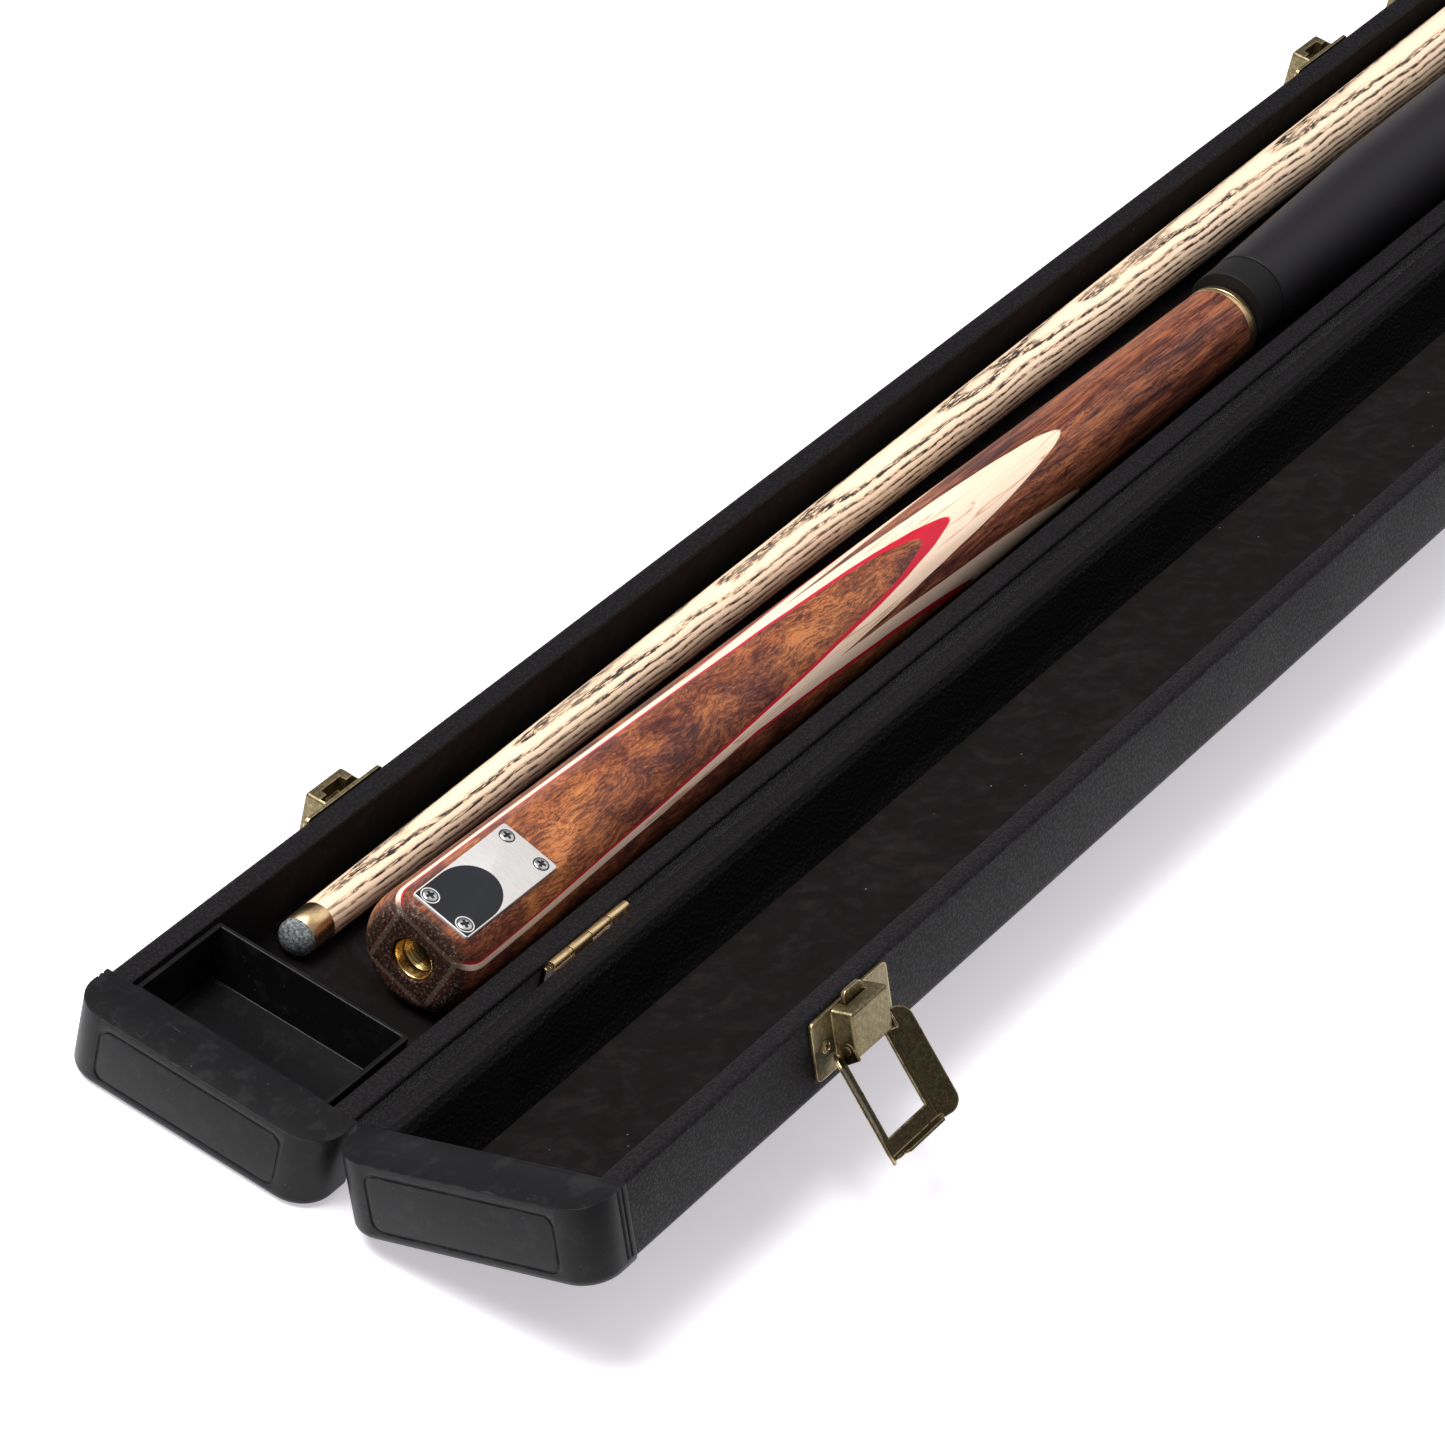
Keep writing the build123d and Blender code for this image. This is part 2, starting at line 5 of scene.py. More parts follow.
import bmesh
import bpy
from mathutils import Matrix, Vector, noise


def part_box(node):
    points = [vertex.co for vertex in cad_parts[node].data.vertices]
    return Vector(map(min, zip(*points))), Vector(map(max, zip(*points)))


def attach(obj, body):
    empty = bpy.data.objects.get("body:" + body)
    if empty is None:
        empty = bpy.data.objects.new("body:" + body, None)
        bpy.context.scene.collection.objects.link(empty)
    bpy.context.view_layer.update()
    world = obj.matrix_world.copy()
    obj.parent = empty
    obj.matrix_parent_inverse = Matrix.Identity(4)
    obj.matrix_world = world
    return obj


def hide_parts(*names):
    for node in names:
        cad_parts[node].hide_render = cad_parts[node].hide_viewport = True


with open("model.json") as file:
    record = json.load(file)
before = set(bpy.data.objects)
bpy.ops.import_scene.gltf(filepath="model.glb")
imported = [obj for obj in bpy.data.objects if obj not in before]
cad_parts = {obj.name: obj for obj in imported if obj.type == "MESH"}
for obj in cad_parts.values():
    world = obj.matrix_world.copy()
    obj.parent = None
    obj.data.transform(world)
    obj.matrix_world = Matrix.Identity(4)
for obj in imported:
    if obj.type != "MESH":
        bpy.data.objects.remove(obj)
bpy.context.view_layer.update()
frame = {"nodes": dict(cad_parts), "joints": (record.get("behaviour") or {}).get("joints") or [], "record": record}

# Cue case lying open, with its cue and extension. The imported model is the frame. Most of its
# pieces are redrawn here with soft edges, screw recesses, veneers and worked surfaces.
MM = 0.001
nodes = frame["nodes"]
record = frame["record"]
slots = {row["node"]: row["material_slot"] for row in record["subparts"]}
bodies = {node: body for body, held in record["behaviour"]["bodies"].items() for node in held}


# ---- sizes in mm, as in the CAD ----
LID_RISE = math.radians(22.2)
OUTER = 69.0
CASE_LENGTH = round((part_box("base_floor_board")[1][1] * 2 + 0.005) * 1000)
STATIONS = {"near": 102, "middle": CASE_LENGTH / 2, "far": CASE_LENGTH - 102}
CAP_DEPTH = 14.2
HINGE_FACE = 33.75
BUTT_RADIUS, JOINT_RADIUS, TIP_RADIUS = 15.25, 10.7, 4.8
BUTT_LENGTH, SHAFT_LENGTH, RING = 375, 1033, 4
BUSH_RADIUS, BUSH_BORE, BUSH_DEPTH = 5.5, 4.45, 14
FLAT, FLAT_END, FLAT_RUN = 12.4, 41.5, 62
BADGE_MIDDLE, BADGE_THICK, BADGE_LEAN = 21.5, 0.8, math.radians(12)
BADGE_SIZE, BADGE_HOLES = (16.2, 36), (10.3, 30.2)
COLLAR_RADIUS, TUBE_RADIUS, TUBE_MOUTH, TUBE_BORE, TUBE_TAPER = 11.2, 14, 11.45, 10.2, 75


# ---- shader building ----
class Shader:
    """One material and short ways to add nodes to it. Textures use object coordinates in mm."""

    def __init__(self, name, **sockets):
        self.material = bpy.data.materials.new(name)
        self.material.use_nodes = True
        self.tree = self.material.node_tree
        self.surface = self.tree.nodes["Principled BSDF"]
        metres = self.node("ShaderNodeTexCoord").outputs["Object"]
        self.at = self.vector("SCALE", metres, Scale=1000)
        self.set(**sockets)

    def feed(self, socket, value):
        if isinstance(value, bpy.types.NodeSocket):
            self.tree.links.new(value, socket)
        elif socket.type == "RGBA":
            socket.default_value = (*value, 1)
        else:
            socket.default_value = value

    def node(self, kind, inputs=None, **settings):
        made = self.tree.nodes.new(kind)
        for key, value in settings.items():
            setattr(made, key, value)
        for key, value in (inputs or {}).items():
            self.feed(made.inputs[key], value)
        return made

    def set(self, **sockets):
        for key, value in sockets.items():
            self.feed(self.surface.inputs[key.replace("_", " ")], value)

    def math(self, operation, a, b=0.0, c=0.0):
        return self.node("ShaderNodeMath", {0: a, 1: b, 2: c}, operation=operation).outputs[0]

    def vector(self, operation, a, b=None, **named):
        inputs = {0: a, **named}
        if b is not None:
            inputs[1] = b
        made = self.node("ShaderNodeVectorMath", inputs, operation=operation)
        return made.outputs["Value" if operation in ("DOT_PRODUCT", "LENGTH") else "Vector"]

    def stretch(self, scale, at=None):
        return self.vector("MULTIPLY", self.at if at is None else at, scale)

    def noise(self, size, detail=3.0, rough=0.5, at=None, distortion=0.0):
        """Noise whose features are about 'size' mm."""
        at = self.at if at is None else at
        made = self.node("ShaderNodeTexNoise", {"Vector": at, "Scale": 1 / size, "Detail": detail,
                         "Roughness": rough, "Distortion": distortion})
        return made.outputs[0]

    def warp(self, amount, size, at=None, detail=2.0):
        """Coordinates pushed about by up to 'amount' mm."""
        at = self.at if at is None else at
        made = self.node("ShaderNodeTexNoise", {"Vector": at, "Scale": 1 / size, "Detail": detail})
        push = self.vector("SUBTRACT", made.outputs[1], (0.5, 0.5, 0.5))
        return self.vector("ADD", at, self.vector("SCALE", push, Scale=2 * amount))

    def cells(self, size, at=None, feature="F1", **inputs):
        at = self.at if at is None else at
        made = self.node("ShaderNodeTexVoronoi", {"Vector": at, "Scale": 1 / size, **inputs},
                         feature=feature)
        return made.outputs["Distance"]

    def step(self, value, low, high, to=(0.0, 1.0)):
        """Smooth step between two values, which may fall as well as rise."""
        made = self.node("ShaderNodeMapRange", {"Value": value, "From Min": low, "From Max": high,
                         "To Min": to[0], "To Max": to[1]}, interpolation_type="SMOOTHSTEP")
        return made.outputs[0]

    def mix(self, share, a, b):
        return self.node("ShaderNodeMix", {0: share, 6: a, 7: b}, data_type="RGBA").outputs[2]

    def ramp(self, value, *stops):
        made = self.node("ShaderNodeValToRGB", {0: value})
        keys = made.color_ramp.elements
        while len(keys) < len(stops):
            keys.new(0.5)
        for key, (place, colour) in zip(keys, stops):
            key.position = place
            key.color = (*colour, 1)
        return made.outputs[0]

    def bump(self, height, depth):
        """'depth' mm of relief."""
        inputs = {"Height": height, "Distance": depth * MM, "Strength": 1.0}
        return self.node("ShaderNodeBump", inputs).outputs[0]

    def split(self, at):
        return self.node("ShaderNodeSeparateXYZ", {0: at}).outputs

    def convex_edge_mask(self, radius, low, high):
        """1 near convex edges: where a rounded normal leaves the true one."""
        rounded = self.node("ShaderNodeBevel", {"Radius": radius * MM}, samples=6).outputs[0]
        true = self.node("ShaderNodeNewGeometry").outputs["Normal"]
        return self.step(self.vector("DOT_PRODUCT", rounded, true), high, low)


def leatherette(name, pebble, depth, gloss, shine, tone):
    """Black pebble-grain covering: domed cells in a net of fine creases, with painted shade on the base's face in
    the gap between the trays.
    """
    made = Shader(name, Specular_IOR_Level=shine)
    at = made.warp(pebble * 0.4, pebble * 1.2)
    grain = made.cells(pebble, at, "SMOOTH_F1", Smoothness=0.5)
    fine = made.noise(0.3, 2)
    hills = made.step(grain, 0.62, 0.12)
    worn = made.noise(26, 4, 0.6)
    side = made.split(made.at)[0]
    face = made.mix(hills, Vector((0.0026, 0.002, 0.0024)) * tone,
                    Vector((0.0108, 0.0086, 0.0102)) * tone)
    # Painted shade on the base's face in the gap between the two trays, where no light gets in.
    gap_painted_shade = made.math("MULTIPLY", made.step(side, HINGE_FACE - 0.8, HINGE_FACE),
                        made.step(side, HINGE_FACE + 1, HINGE_FACE + 0.6))
    made.set(Base_Color=made.mix(gap_painted_shade, face, (0.0005, 0.0005, 0.0006)))
    dull = made.math("MULTIPLY_ADD", worn, 0.16, gloss)
    made.set(Roughness=made.math("SUBTRACT", dull, made.math("MULTIPLY", hills, 0.1)))
    height = made.math("MULTIPLY_ADD", fine, 0.15, hills)
    made.set(Normal=made.bump(height, depth))
    return made.material


def suede():
    """Brushed pile with clouds where the nap lies another way, and a little lint."""
    made = Shader("suede", Roughness=0.95, Specular_IOR_Level=0.1, Sheen_Weight=0.04,
                  Sheen_Roughness=0.5, Sheen_Tint=(0.62, 0.5, 0.46))
    nap = made.noise(0.55, 3, 0.65)
    cloud = made.noise(14, 4, 0.6, distortion=1.5)
    brushed = made.noise(4, 3, 0.6, made.warp(2, 9))
    shade = made.math("MULTIPLY_ADD", brushed, 0.4, made.math("MULTIPLY", cloud, 0.6))
    colour = made.ramp(shade, (0.34, (0.0016, 0.001, 0.0011)), (0.5, (0.0045, 0.0029, 0.0032)),
                       (0.68, (0.013, 0.0087, 0.0092)))
    lint = made.step(made.cells(4.2), 0.06, 0.03)
    fleck = made.step(made.noise(11, 2), 0.56, 0.62)
    lint = made.math("MULTIPLY", lint, fleck)
    colour = made.mix(made.math("MULTIPLY", lint, 0.8), colour, (0.4, 0.38, 0.36))
    made.set(Base_Color=made.mix(made.math("MULTIPLY", nap, 0.5), colour, (0.002, 0.0014, 0.0015)))
    made.set(Normal=made.bump(made.math("MULTIPLY_ADD", brushed, 0.8, nap), 0.22))
    return made.material


def moulded(name, dark, light, gloss):
    """Moulded plastic with fine scuffs, rubbed edges and dust."""
    made = Shader(name, Specular_IOR_Level=0.16)
    along = made.warp(3, 20)
    scratch = made.noise(1.1, 2, 0.5, made.stretch((1, 0.09, 0.5), along))
    crossed = made.noise(0.9, 2, 0.5, made.stretch((0.08, 1, 0.7), along))
    patch = made.step(made.noise(13, 3), 0.48, 0.66)
    scuff = made.math("MAXIMUM", made.step(scratch, 0.66, 0.74), made.step(crossed, 0.68, 0.76))
    scuff = made.math("MULTIPLY", scuff, patch)
    edge = made.convex_edge_mask(0.7, 0.88, 0.985)
    edge = made.math("MULTIPLY", edge, made.step(made.noise(3.5, 4), 0.42, 0.62))
    mark = made.math("MAXIMUM", made.math("MULTIPLY", scuff, 0.5),
                     made.math("MULTIPLY", edge, 0.45))
    rubbed = made.step(made.noise(5, 4, 0.65, made.stretch((1, 0.6, 1), along)), 0.5, 0.68)
    dust = made.step(made.cells(3.4, made.warp(2, 5)), 0.05, 0.035)
    mark = made.math("MAXIMUM", mark, made.math("MULTIPLY", rubbed, 0.11))
    mark = made.math("MAXIMUM", mark, made.math("MULTIPLY", dust, 0.8))
    made.set(Base_Color=made.mix(mark, dark, light))
    dull = made.math("MULTIPLY_ADD", made.noise(7, 4, 0.6), 0.16, gloss)
    made.set(Roughness=made.math("MULTIPLY_ADD", mark, 0.3, dull))
    peel = made.math("MULTIPLY_ADD", made.noise(0.35, 2), 0.35, made.noise(1.6, 2))
    made.set(Normal=made.bump(made.math("SUBTRACT", peel, scuff), 0.035))
    return made.material


def bare_wood():
    """Pine that shows on the trays' ends; the end blocks' inner faces are lined."""
    made = Shader("case_wood", Roughness=0.7)
    at = made.stretch((1, 0.06, 1), made.warp(1.5, 30))
    grain = made.noise(0.9, 4, 0.6, at)
    wood = made.ramp(grain, (0.3, (0.25, 0.15, 0.075)), (0.7, (0.52, 0.38, 0.22)))
    station = made.math("ABSOLUTE", made.split(made.at)[1])
    inner_end = CASE_LENGTH / 2 - CAP_DEPTH
    lined = made.step(station, inner_end + 0.6, inner_end + 0.1)
    made.set(Base_Color=made.mix(lined, wood, (0.004, 0.0028, 0.003)))
    made.set(Normal=made.bump(grain, 0.1))
    return made.material


def bright_brass(name="bright_brass"):
    """Brass with light tarnish. The hinge's has painted shade under its knuckles, and the bush's is
    yellower and has painted shade that darkens down its bore."""
    made = Shader(name, Metallic=1.0, Anisotropic=0.25)
    tarnish = made.step(made.noise(2.2, 4, 0.65), 0.5, 0.72)
    fine = made.noise(0.35, 3, 0.5, made.stretch((1, 4, 1)))
    colour = made.mix(made.math("MULTIPLY", tarnish, 0.45), (0.8, 0.58, 0.31),
                      (0.4, 0.26, 0.12))
    if name == "hinge_brass":
        height = made.split(made.at)[2]
        # Painted shade on the leaves below the knuckles.
        colour = made.mix(made.step(height, 18.6, 17.8), colour, (0.03, 0.021, 0.012))
    if name == "bush_brass":
        depth = made.split(rod_frame(made, butt_start, butt_line, butt_up))[1]
        colour = made.mix(0.6, colour, (0.85, 0.56, 0.17))
        # Painted shade that darkens down the bore.
        colour = made.mix(made.step(depth, 2.5, 11), colour, (0.012, 0.007, 0.003))
    made.set(Base_Color=colour)
    dull = made.math("MULTIPLY_ADD", tarnish, 0.18, 0.24)
    made.set(Roughness=made.math("MULTIPLY_ADD", fine, 0.08, dull))
    made.set(Normal=made.bump(made.math("MULTIPLY_ADD", made.noise(1.6, 2), 2, fine), 0.005))
    return made.material


def aged_brass(name, level):
    """Browned brass with painted shade that darkens it by 'level' in place of dark reflections,
    and its edges rubbed bright, partly by wear and partly as a painted highlight.
    """
    made = Shader(name, Metallic=1.0)
    blotch = made.noise(1.1, 5, 0.7)
    fine = made.noise(0.3, 3, 0.6)
    shade = made.math("MULTIPLY_ADD", fine, 0.45, made.math("MULTIPLY", blotch, 0.55))
    dark = made.ramp(shade, (0.34, (0.09, 0.072, 0.036)), (0.5, (0.21, 0.17, 0.09)),
                     (0.66, (0.38, 0.31, 0.165)))
    # Painted shade: 'level' darkens the whole surface in place of dark reflections.
    dark = made.mix(level, dark, (0.012, 0.008, 0.004))
    # Edges rubbed bright: partly wear, partly a painted highlight.
    rub_and_highlight = made.convex_edge_mask(0.75, 0.8, 0.99)
    rub_and_highlight = made.math("MULTIPLY", rub_and_highlight, made.step(made.noise(1.5, 4), 0.28, 0.55))
    speck = made.math("MULTIPLY", made.step(fine, 0.62, 0.74), 0.3)
    # 'worn' holds the specks and the rubbed edges with their painted highlight.
    worn = made.math("MAXIMUM", rub_and_highlight, speck)
    made.set(Base_Color=made.mix(worn, dark, (0.85, 0.66, 0.36)))
    dull = made.math("MULTIPLY_ADD", shade, 0.25, 0.3)
    made.set(Roughness=made.math("SUBTRACT", dull, made.math("MULTIPLY", worn, 0.16)))
    made.set(Normal=made.bump(made.math("MULTIPLY_ADD", blotch, 2, fine), 0.03))
    return made.material


def brushed_steel():
    """Steel with its brushing along the butt."""
    made = Shader("badge_steel", Metallic=1.0, Anisotropic=0.5)
    lines = made.noise(0.22, 3, 0.6, made.stretch((1, 0.05, 1)))
    made.set(Base_Color=made.ramp(lines, (0.3, (0.5, 0.49, 0.48)), (0.7, (0.76, 0.75, 0.74))))
    made.set(Roughness=made.math("MULTIPLY_ADD", lines, 0.14, 0.22))
    made.set(Normal=made.bump(lines, 0.012))
    return made.material


def satin(name, low, high, gloss):
    """Anodised or lacquered tube: faint lengthwise drawing marks under a fine tooth."""
    made = Shader(name, Specular_IOR_Level=0.25)
    tooth = made.noise(0.4, 3, 0.6)
    drawn = made.noise(2.2, 3, 0.5, made.stretch((1, 0.03, 1)))
    cloud = made.noise(22, 3)
    shade = made.math("MULTIPLY_ADD", drawn, 0.4, made.math("MULTIPLY", cloud, 0.6))
    made.set(Base_Color=made.mix(shade, low, high))
    made.set(Roughness=made.math("MULTIPLY_ADD", shade, 0.12, gloss))
    made.set(Normal=made.bump(tooth, 0.03))
    return made.material


def tip_leather():
    """Cue tip with chalk left in it."""
    made = Shader("tip_leather", Roughness=0.9, Specular_IOR_Level=0.2)
    dust = made.noise(0.75, 5, 0.75)
    made.set(Base_Color=made.ramp(dust, (0.34, (0.03, 0.033, 0.035)), (0.5, (0.13, 0.14, 0.145)),
                                 (0.66, (0.36, 0.38, 0.38))))
    made.set(Normal=made.bump(dust, 0.15))
    return made.material


def strap_leather():
    """Fine-grained hide with creases across the strap."""
    made = Shader("strap_leather", Specular_IOR_Level=0.4)
    grain = made.cells(0.8, made.warp(0.3, 1), "SMOOTH_F1", Smoothness=0.5)
    crease = made.noise(2.5, 4, 0.6, made.stretch((1, 0.35, 1)))
    made.set(Base_Color=made.mix(crease, (0.007, 0.006, 0.006), (0.022, 0.019, 0.018)))
    made.set(Roughness=made.math("MULTIPLY_ADD", crease, 0.2, 0.38))
    made.set(Normal=made.bump(made.math("SUBTRACT", crease, made.math("MULTIPLY", grain, 0.6)),
                              0.1))
    return made.material


def thread():
    """Waxed thread with its twist."""
    made = Shader("thread", Roughness=0.8)
    twist = made.noise(0.35, 2, 0.5, made.stretch((1, 0.4, 1)))
    made.set(Base_Color=made.mix(twist, (0.012, 0.012, 0.013), (0.07, 0.07, 0.072)))
    made.set(Normal=made.bump(twist, 0.08))
    return made.material


def rod_frame(shader, start, direction, up):
    """Object coordinates turned into (across, along, up) mm from a rod's end."""
    along = direction.normalized()
    up = square_to(along, up)
    across = along.cross(up)
    rows = Matrix((across, along, up))
    place = -(rows @ (start * 1000))
    made = shader.node("ShaderNodeMapping", {"Vector": shader.at, "Location": place,
                       "Rotation": rows.to_euler()})
    return made.outputs[0]


def ash(start, direction, up):
    """Pale ash whose growth rings, cut at a slant by the taper, show as chains of arrows."""
    made = Shader("ash", Specular_IOR_Level=0.35)
    at = rod_frame(made, start, direction, up)
    _, y, z = made.split(at)
    sway = made.noise(38, 2, 0.5, made.stretch((0.25, 1, 0.25), at))
    ragged = made.noise(1.7, 4, 0.7, made.stretch((1, 0.09, 1), at))
    level = made.math("MULTIPLY_ADD", y, 0.012, z)
    level = made.math("MULTIPLY_ADD", sway, 2.6, level)
    level = made.math("MULTIPLY_ADD", ragged, 0.95, level)
    ring = made.math("FRACT", made.math("MULTIPLY", level, 0.62))
    band = made.math("MULTIPLY", made.step(ring, 0.0, 0.12), made.step(ring, 0.6, 0.26))
    dash = made.noise(0.4, 3, 0.65, made.stretch((1, 0.1, 1), at))
    pores = made.math("MULTIPLY", made.step(dash, 0.45, 0.5), band)
    dark_pores = made.math("MULTIPLY", made.step(dash, 0.4, 0.5), made.step(band, 0.75, 1))
    pores = made.math("MAXIMUM", pores, made.math("MULTIPLY", dark_pores, 0.9))
    fine = made.noise(0.22, 2, 0.6, made.stretch((1, 0.045, 1), at))
    base = made.mix(ring, (0.82, 0.57, 0.38), (0.92, 0.7, 0.51))
    base = made.mix(made.math("MULTIPLY", band, 0.2), base, (0.56, 0.39, 0.24))
    base = made.mix(made.math("MULTIPLY", made.step(fine, 0.5, 0.8), 0.18), base,
                    (0.6, 0.43, 0.27))
    thick = made.noise(11, 3, 0.6, made.stretch((1, 0.22, 1), at))
    thick = made.step(thick, 0.34, 0.5, (0.6, 1.0))
    made.set(Base_Color=made.mix(made.math("MULTIPLY", pores, thick), base, (0.012, 0.009, 0.008)))
    made.set(Roughness=made.math("MULTIPLY_ADD", pores, 0.2, 0.38))
    made.set(Normal=made.bump(made.math("SUBTRACT", fine, pores), 0.015))
    return made.material


def spliced_butt(start, direction, up):
    """Rosewood butt with four spliced panels. Each panel lies on planes that rise towards the
    joint, so the cone cuts them into spears: burl, red veneer, then maple, over rosewood."""
    made = Shader("rosewood", Specular_IOR_Level=0.22)
    at = rod_frame(made, start, direction, up)
    y = made.split(at)[1]
    fibre_at = made.stretch((1, 0.045, 1), made.warp(0.7, 20, at))
    fibre = made.noise(0.5, 4, 0.7, fibre_at)
    streak = made.noise(3.0, 3, 0.6, made.stretch((1, 0.05, 1), made.warp(2.5, 40, at)))
    shade = made.math("MULTIPLY_ADD", fibre, 0.5, made.math("MULTIPLY", streak, 0.5))
    rosewood = made.ramp(shade, (0.38, (0.026, 0.008, 0.008)), (0.46, (0.105, 0.03, 0.019)),
                         (0.54, (0.26, 0.08, 0.035)), (0.66, (0.42, 0.16, 0.058)))
    pool = made.noise(24, 2, 0.5, made.stretch((1, 0.7, 1), at), distortion=0.8)
    swirl = made.warp(6, 24, at, 2)
    dense = made.noise(6, 4, 0.65, made.stretch((1, 0.5, 1), swirl))
    curl = made.noise(0.9, 5, 0.7, made.stretch((1, 0.16, 1), swirl))
    fleck = made.noise(0.34, 4, 0.75, made.stretch((1, 0.14, 1), made.warp(1.5, 6, at)))
    figure = made.math("MULTIPLY_ADD", pool, 0.3, made.math("MULTIPLY", dense, 0.2))
    figure = made.math("MULTIPLY_ADD", curl, 0.25, figure)
    figure = made.math("MULTIPLY_ADD", fleck, 0.29, figure)
    burl = made.ramp(figure, (0.42, (0.04, 0.01, 0.012)), (0.48, (0.13, 0.036, 0.021)),
                     (0.53, (0.27, 0.083, 0.034)), (0.59, (0.41, 0.14, 0.046)),
                     (0.68, (0.54, 0.22, 0.075)))
    nick = made.noise(0.4, 3, 0.7, made.stretch((1, 0.08, 1), made.warp(1.6, 9, at)))
    nick = made.math("MULTIPLY", made.step(nick, 0.52, 0.58), made.step(dense, 0.62, 0.4))
    nick = made.math("MULTIPLY", nick, 0.8)
    burl = made.mix(nick, burl, (0.03, 0.009, 0.012))
    rosewood = made.mix(nick, rosewood, (0.016, 0.006, 0.006))
    flow = made.noise(0.6, 3, 0.7, made.stretch((1, 0.05, 1), swirl))
    flow = made.math("MULTIPLY", made.step(flow, 0.49, 0.56), 0.62)
    burl = made.mix(flow, burl, (0.055, 0.016, 0.012))
    line = made.noise(3, 2, 0.5, made.stretch((1, 0.035, 1), at))
    maple = made.ramp(line, (0.45, (0.82, 0.6, 0.45)), (0.47, (0.55, 0.33, 0.2)),
                      (0.485, (0.86, 0.66, 0.5)), (0.7, (0.78, 0.56, 0.41)))
    red = made.mix(fibre, (0.34, 0.004, 0.016), (0.6, 0.014, 0.04))
    waver = made.math("MULTIPLY_ADD", made.noise(30, 2, 0.5, at), 0.5, -0.25)
    bow = made.math("MULTIPLY", made.math("MULTIPLY", y, y), 4.4e-5)
    turn = made.math("MULTIPLY_ADD", y, math.radians(0.03), math.radians(-6))
    turned = made.node("ShaderNodeVectorRotate", {"Vector": at, "Axis": (0, 1, 0),
                       "Angle": turn}, rotation_type="AXIS_ANGLE").outputs[0]
    x, _, z = made.split(turned)

    layers = ((8.0, 0.0015, maple), (9.2, 0.0049, red), (9.62, 0.0052, burl))

    def over(reach, under):
        """Adds one pair of panels, whose depth from the axis is 'reach', over what's there."""
        reach = made.math("ADD", made.math("ABSOLUTE", reach), waver)
        colour = under
        for height, rise, layer in layers:
            plane = made.math("ADD", made.math("MULTIPLY_ADD", y, rise, height), bow)
            inside = made.step(made.math("SUBTRACT", reach, plane), -0.02, 0.02)
            colour = made.mix(inside, colour, layer)
        return colour

    colour = over(z, over(x, rosewood))
    end_grain = made.math("MULTIPLY", made.step(y, 3.2, 0.4), 0.9)
    grime = made.ramp(made.noise(0.7, 4, 0.75, at), (0.45, (0.012, 0.007, 0.006)),
                      (0.56, (0.05, 0.028, 0.018)), (0.66, (0.3, 0.25, 0.2)))
    made.set(Base_Color=made.mix(end_grain, colour, grime))
    made.set(Roughness=made.math("MULTIPLY_ADD", fibre, 0.15, 0.3))
    made.set(Normal=made.bump(fibre, 0.015))
    return made.material


# ---- mesh building ----
SHARP = math.radians(32)


def finished(name, mesh_data, body, material, node_names=(), smooth=38):
    """Puts a bmesh into the scene as a piece that rides on a body and stands for CAD nodes."""
    bmesh.ops.recalc_face_normals(mesh_data, faces=mesh_data.faces)
    mesh = bpy.data.meshes.new(name)
    mesh_data.to_mesh(mesh)
    mesh_data.free()
    made = bpy.data.objects.new(name, mesh)
    bpy.context.scene.collection.objects.link(made)
    mesh.materials.append(material)
    for face in mesh.polygons:
        face.use_smooth = True
    mesh.set_sharp_from_angle(angle=math.radians(smooth))
    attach(made, body)
    if node_names:
        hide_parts(*node_names)
    return made


def softened(node, width, material):
    """A CAD node's copy with its sharp edges rolled over by 'width' mm."""
    source = nodes[node]
    mesh_data = bmesh.new()
    mesh_data.from_mesh(source.data)
    mesh_data.transform(source.matrix_world)
    bmesh.ops.remove_doubles(mesh_data, verts=mesh_data.verts, dist=2e-6)
    bmesh.ops.dissolve_limit(mesh_data, angle_limit=math.radians(1), verts=mesh_data.verts,
                             edges=mesh_data.edges)
    sharp = [edge for edge in mesh_data.edges
             if len(edge.link_faces) == 2 and edge.calc_face_angle() > SHARP]
    bmesh.ops.bevel(mesh_data, geom=sharp, offset=width * MM, segments=2, profile=0.6,
                    affect="EDGES", clamp_overlap=True)
    finished(node + "_soft", mesh_data, bodies[node], material, (node,))


def rounded(points, steps=5):
    """Closed or open outline with its corners turned into arcs: points are (x, y, radius)."""
    made = []
    for number, (x, y, radius) in enumerate(points):
        here = Vector((x, y))
        if not radius:
            made.append(here)
            continue
        before = Vector(points[number - 1][:2]) - here
        after = Vector(points[(number + 1) % len(points)][:2]) - here
        half = before.angle(after) / 2
        reach = radius / math.tan(half)
        middle = here + (before.normalized() + after.normalized()).normalized() * (
            radius / math.sin(half))
        first = here + before.normalized() * reach - middle
        last = here + after.normalized() * reach - middle
        turn = first.angle_signed(last)
        for step in range(steps + 1):
            angle = -turn * step / steps
            made.append(middle + Matrix.Rotation(angle, 2) @ first)
    return made


def axes_in_mm(x, y, z):
    """Matrix that turns mm along three unit axes into metres."""
    return Matrix((x * MM, y * MM, z * MM)).transposed().to_4x4()


def square_to(axis, vector):
    """The unit part of a vector that's square to a unit axis."""
    return (vector - axis * vector.dot(axis)).normalized()


def skin(mesh_data, rings, capped=True):
    """Joins each closed ring of vertices to the next, and caps the two ends."""
    count = len(rings[0])
    for first, second in zip(rings, rings[1:]):
        for number in range(count):
            other = (number + 1) % count
            mesh_data.faces.new((first[number], first[other], second[other], second[number]))
    if capped:
        mesh_data.faces.new(rings[0][::-1])
        mesh_data.faces.new(rings[-1])


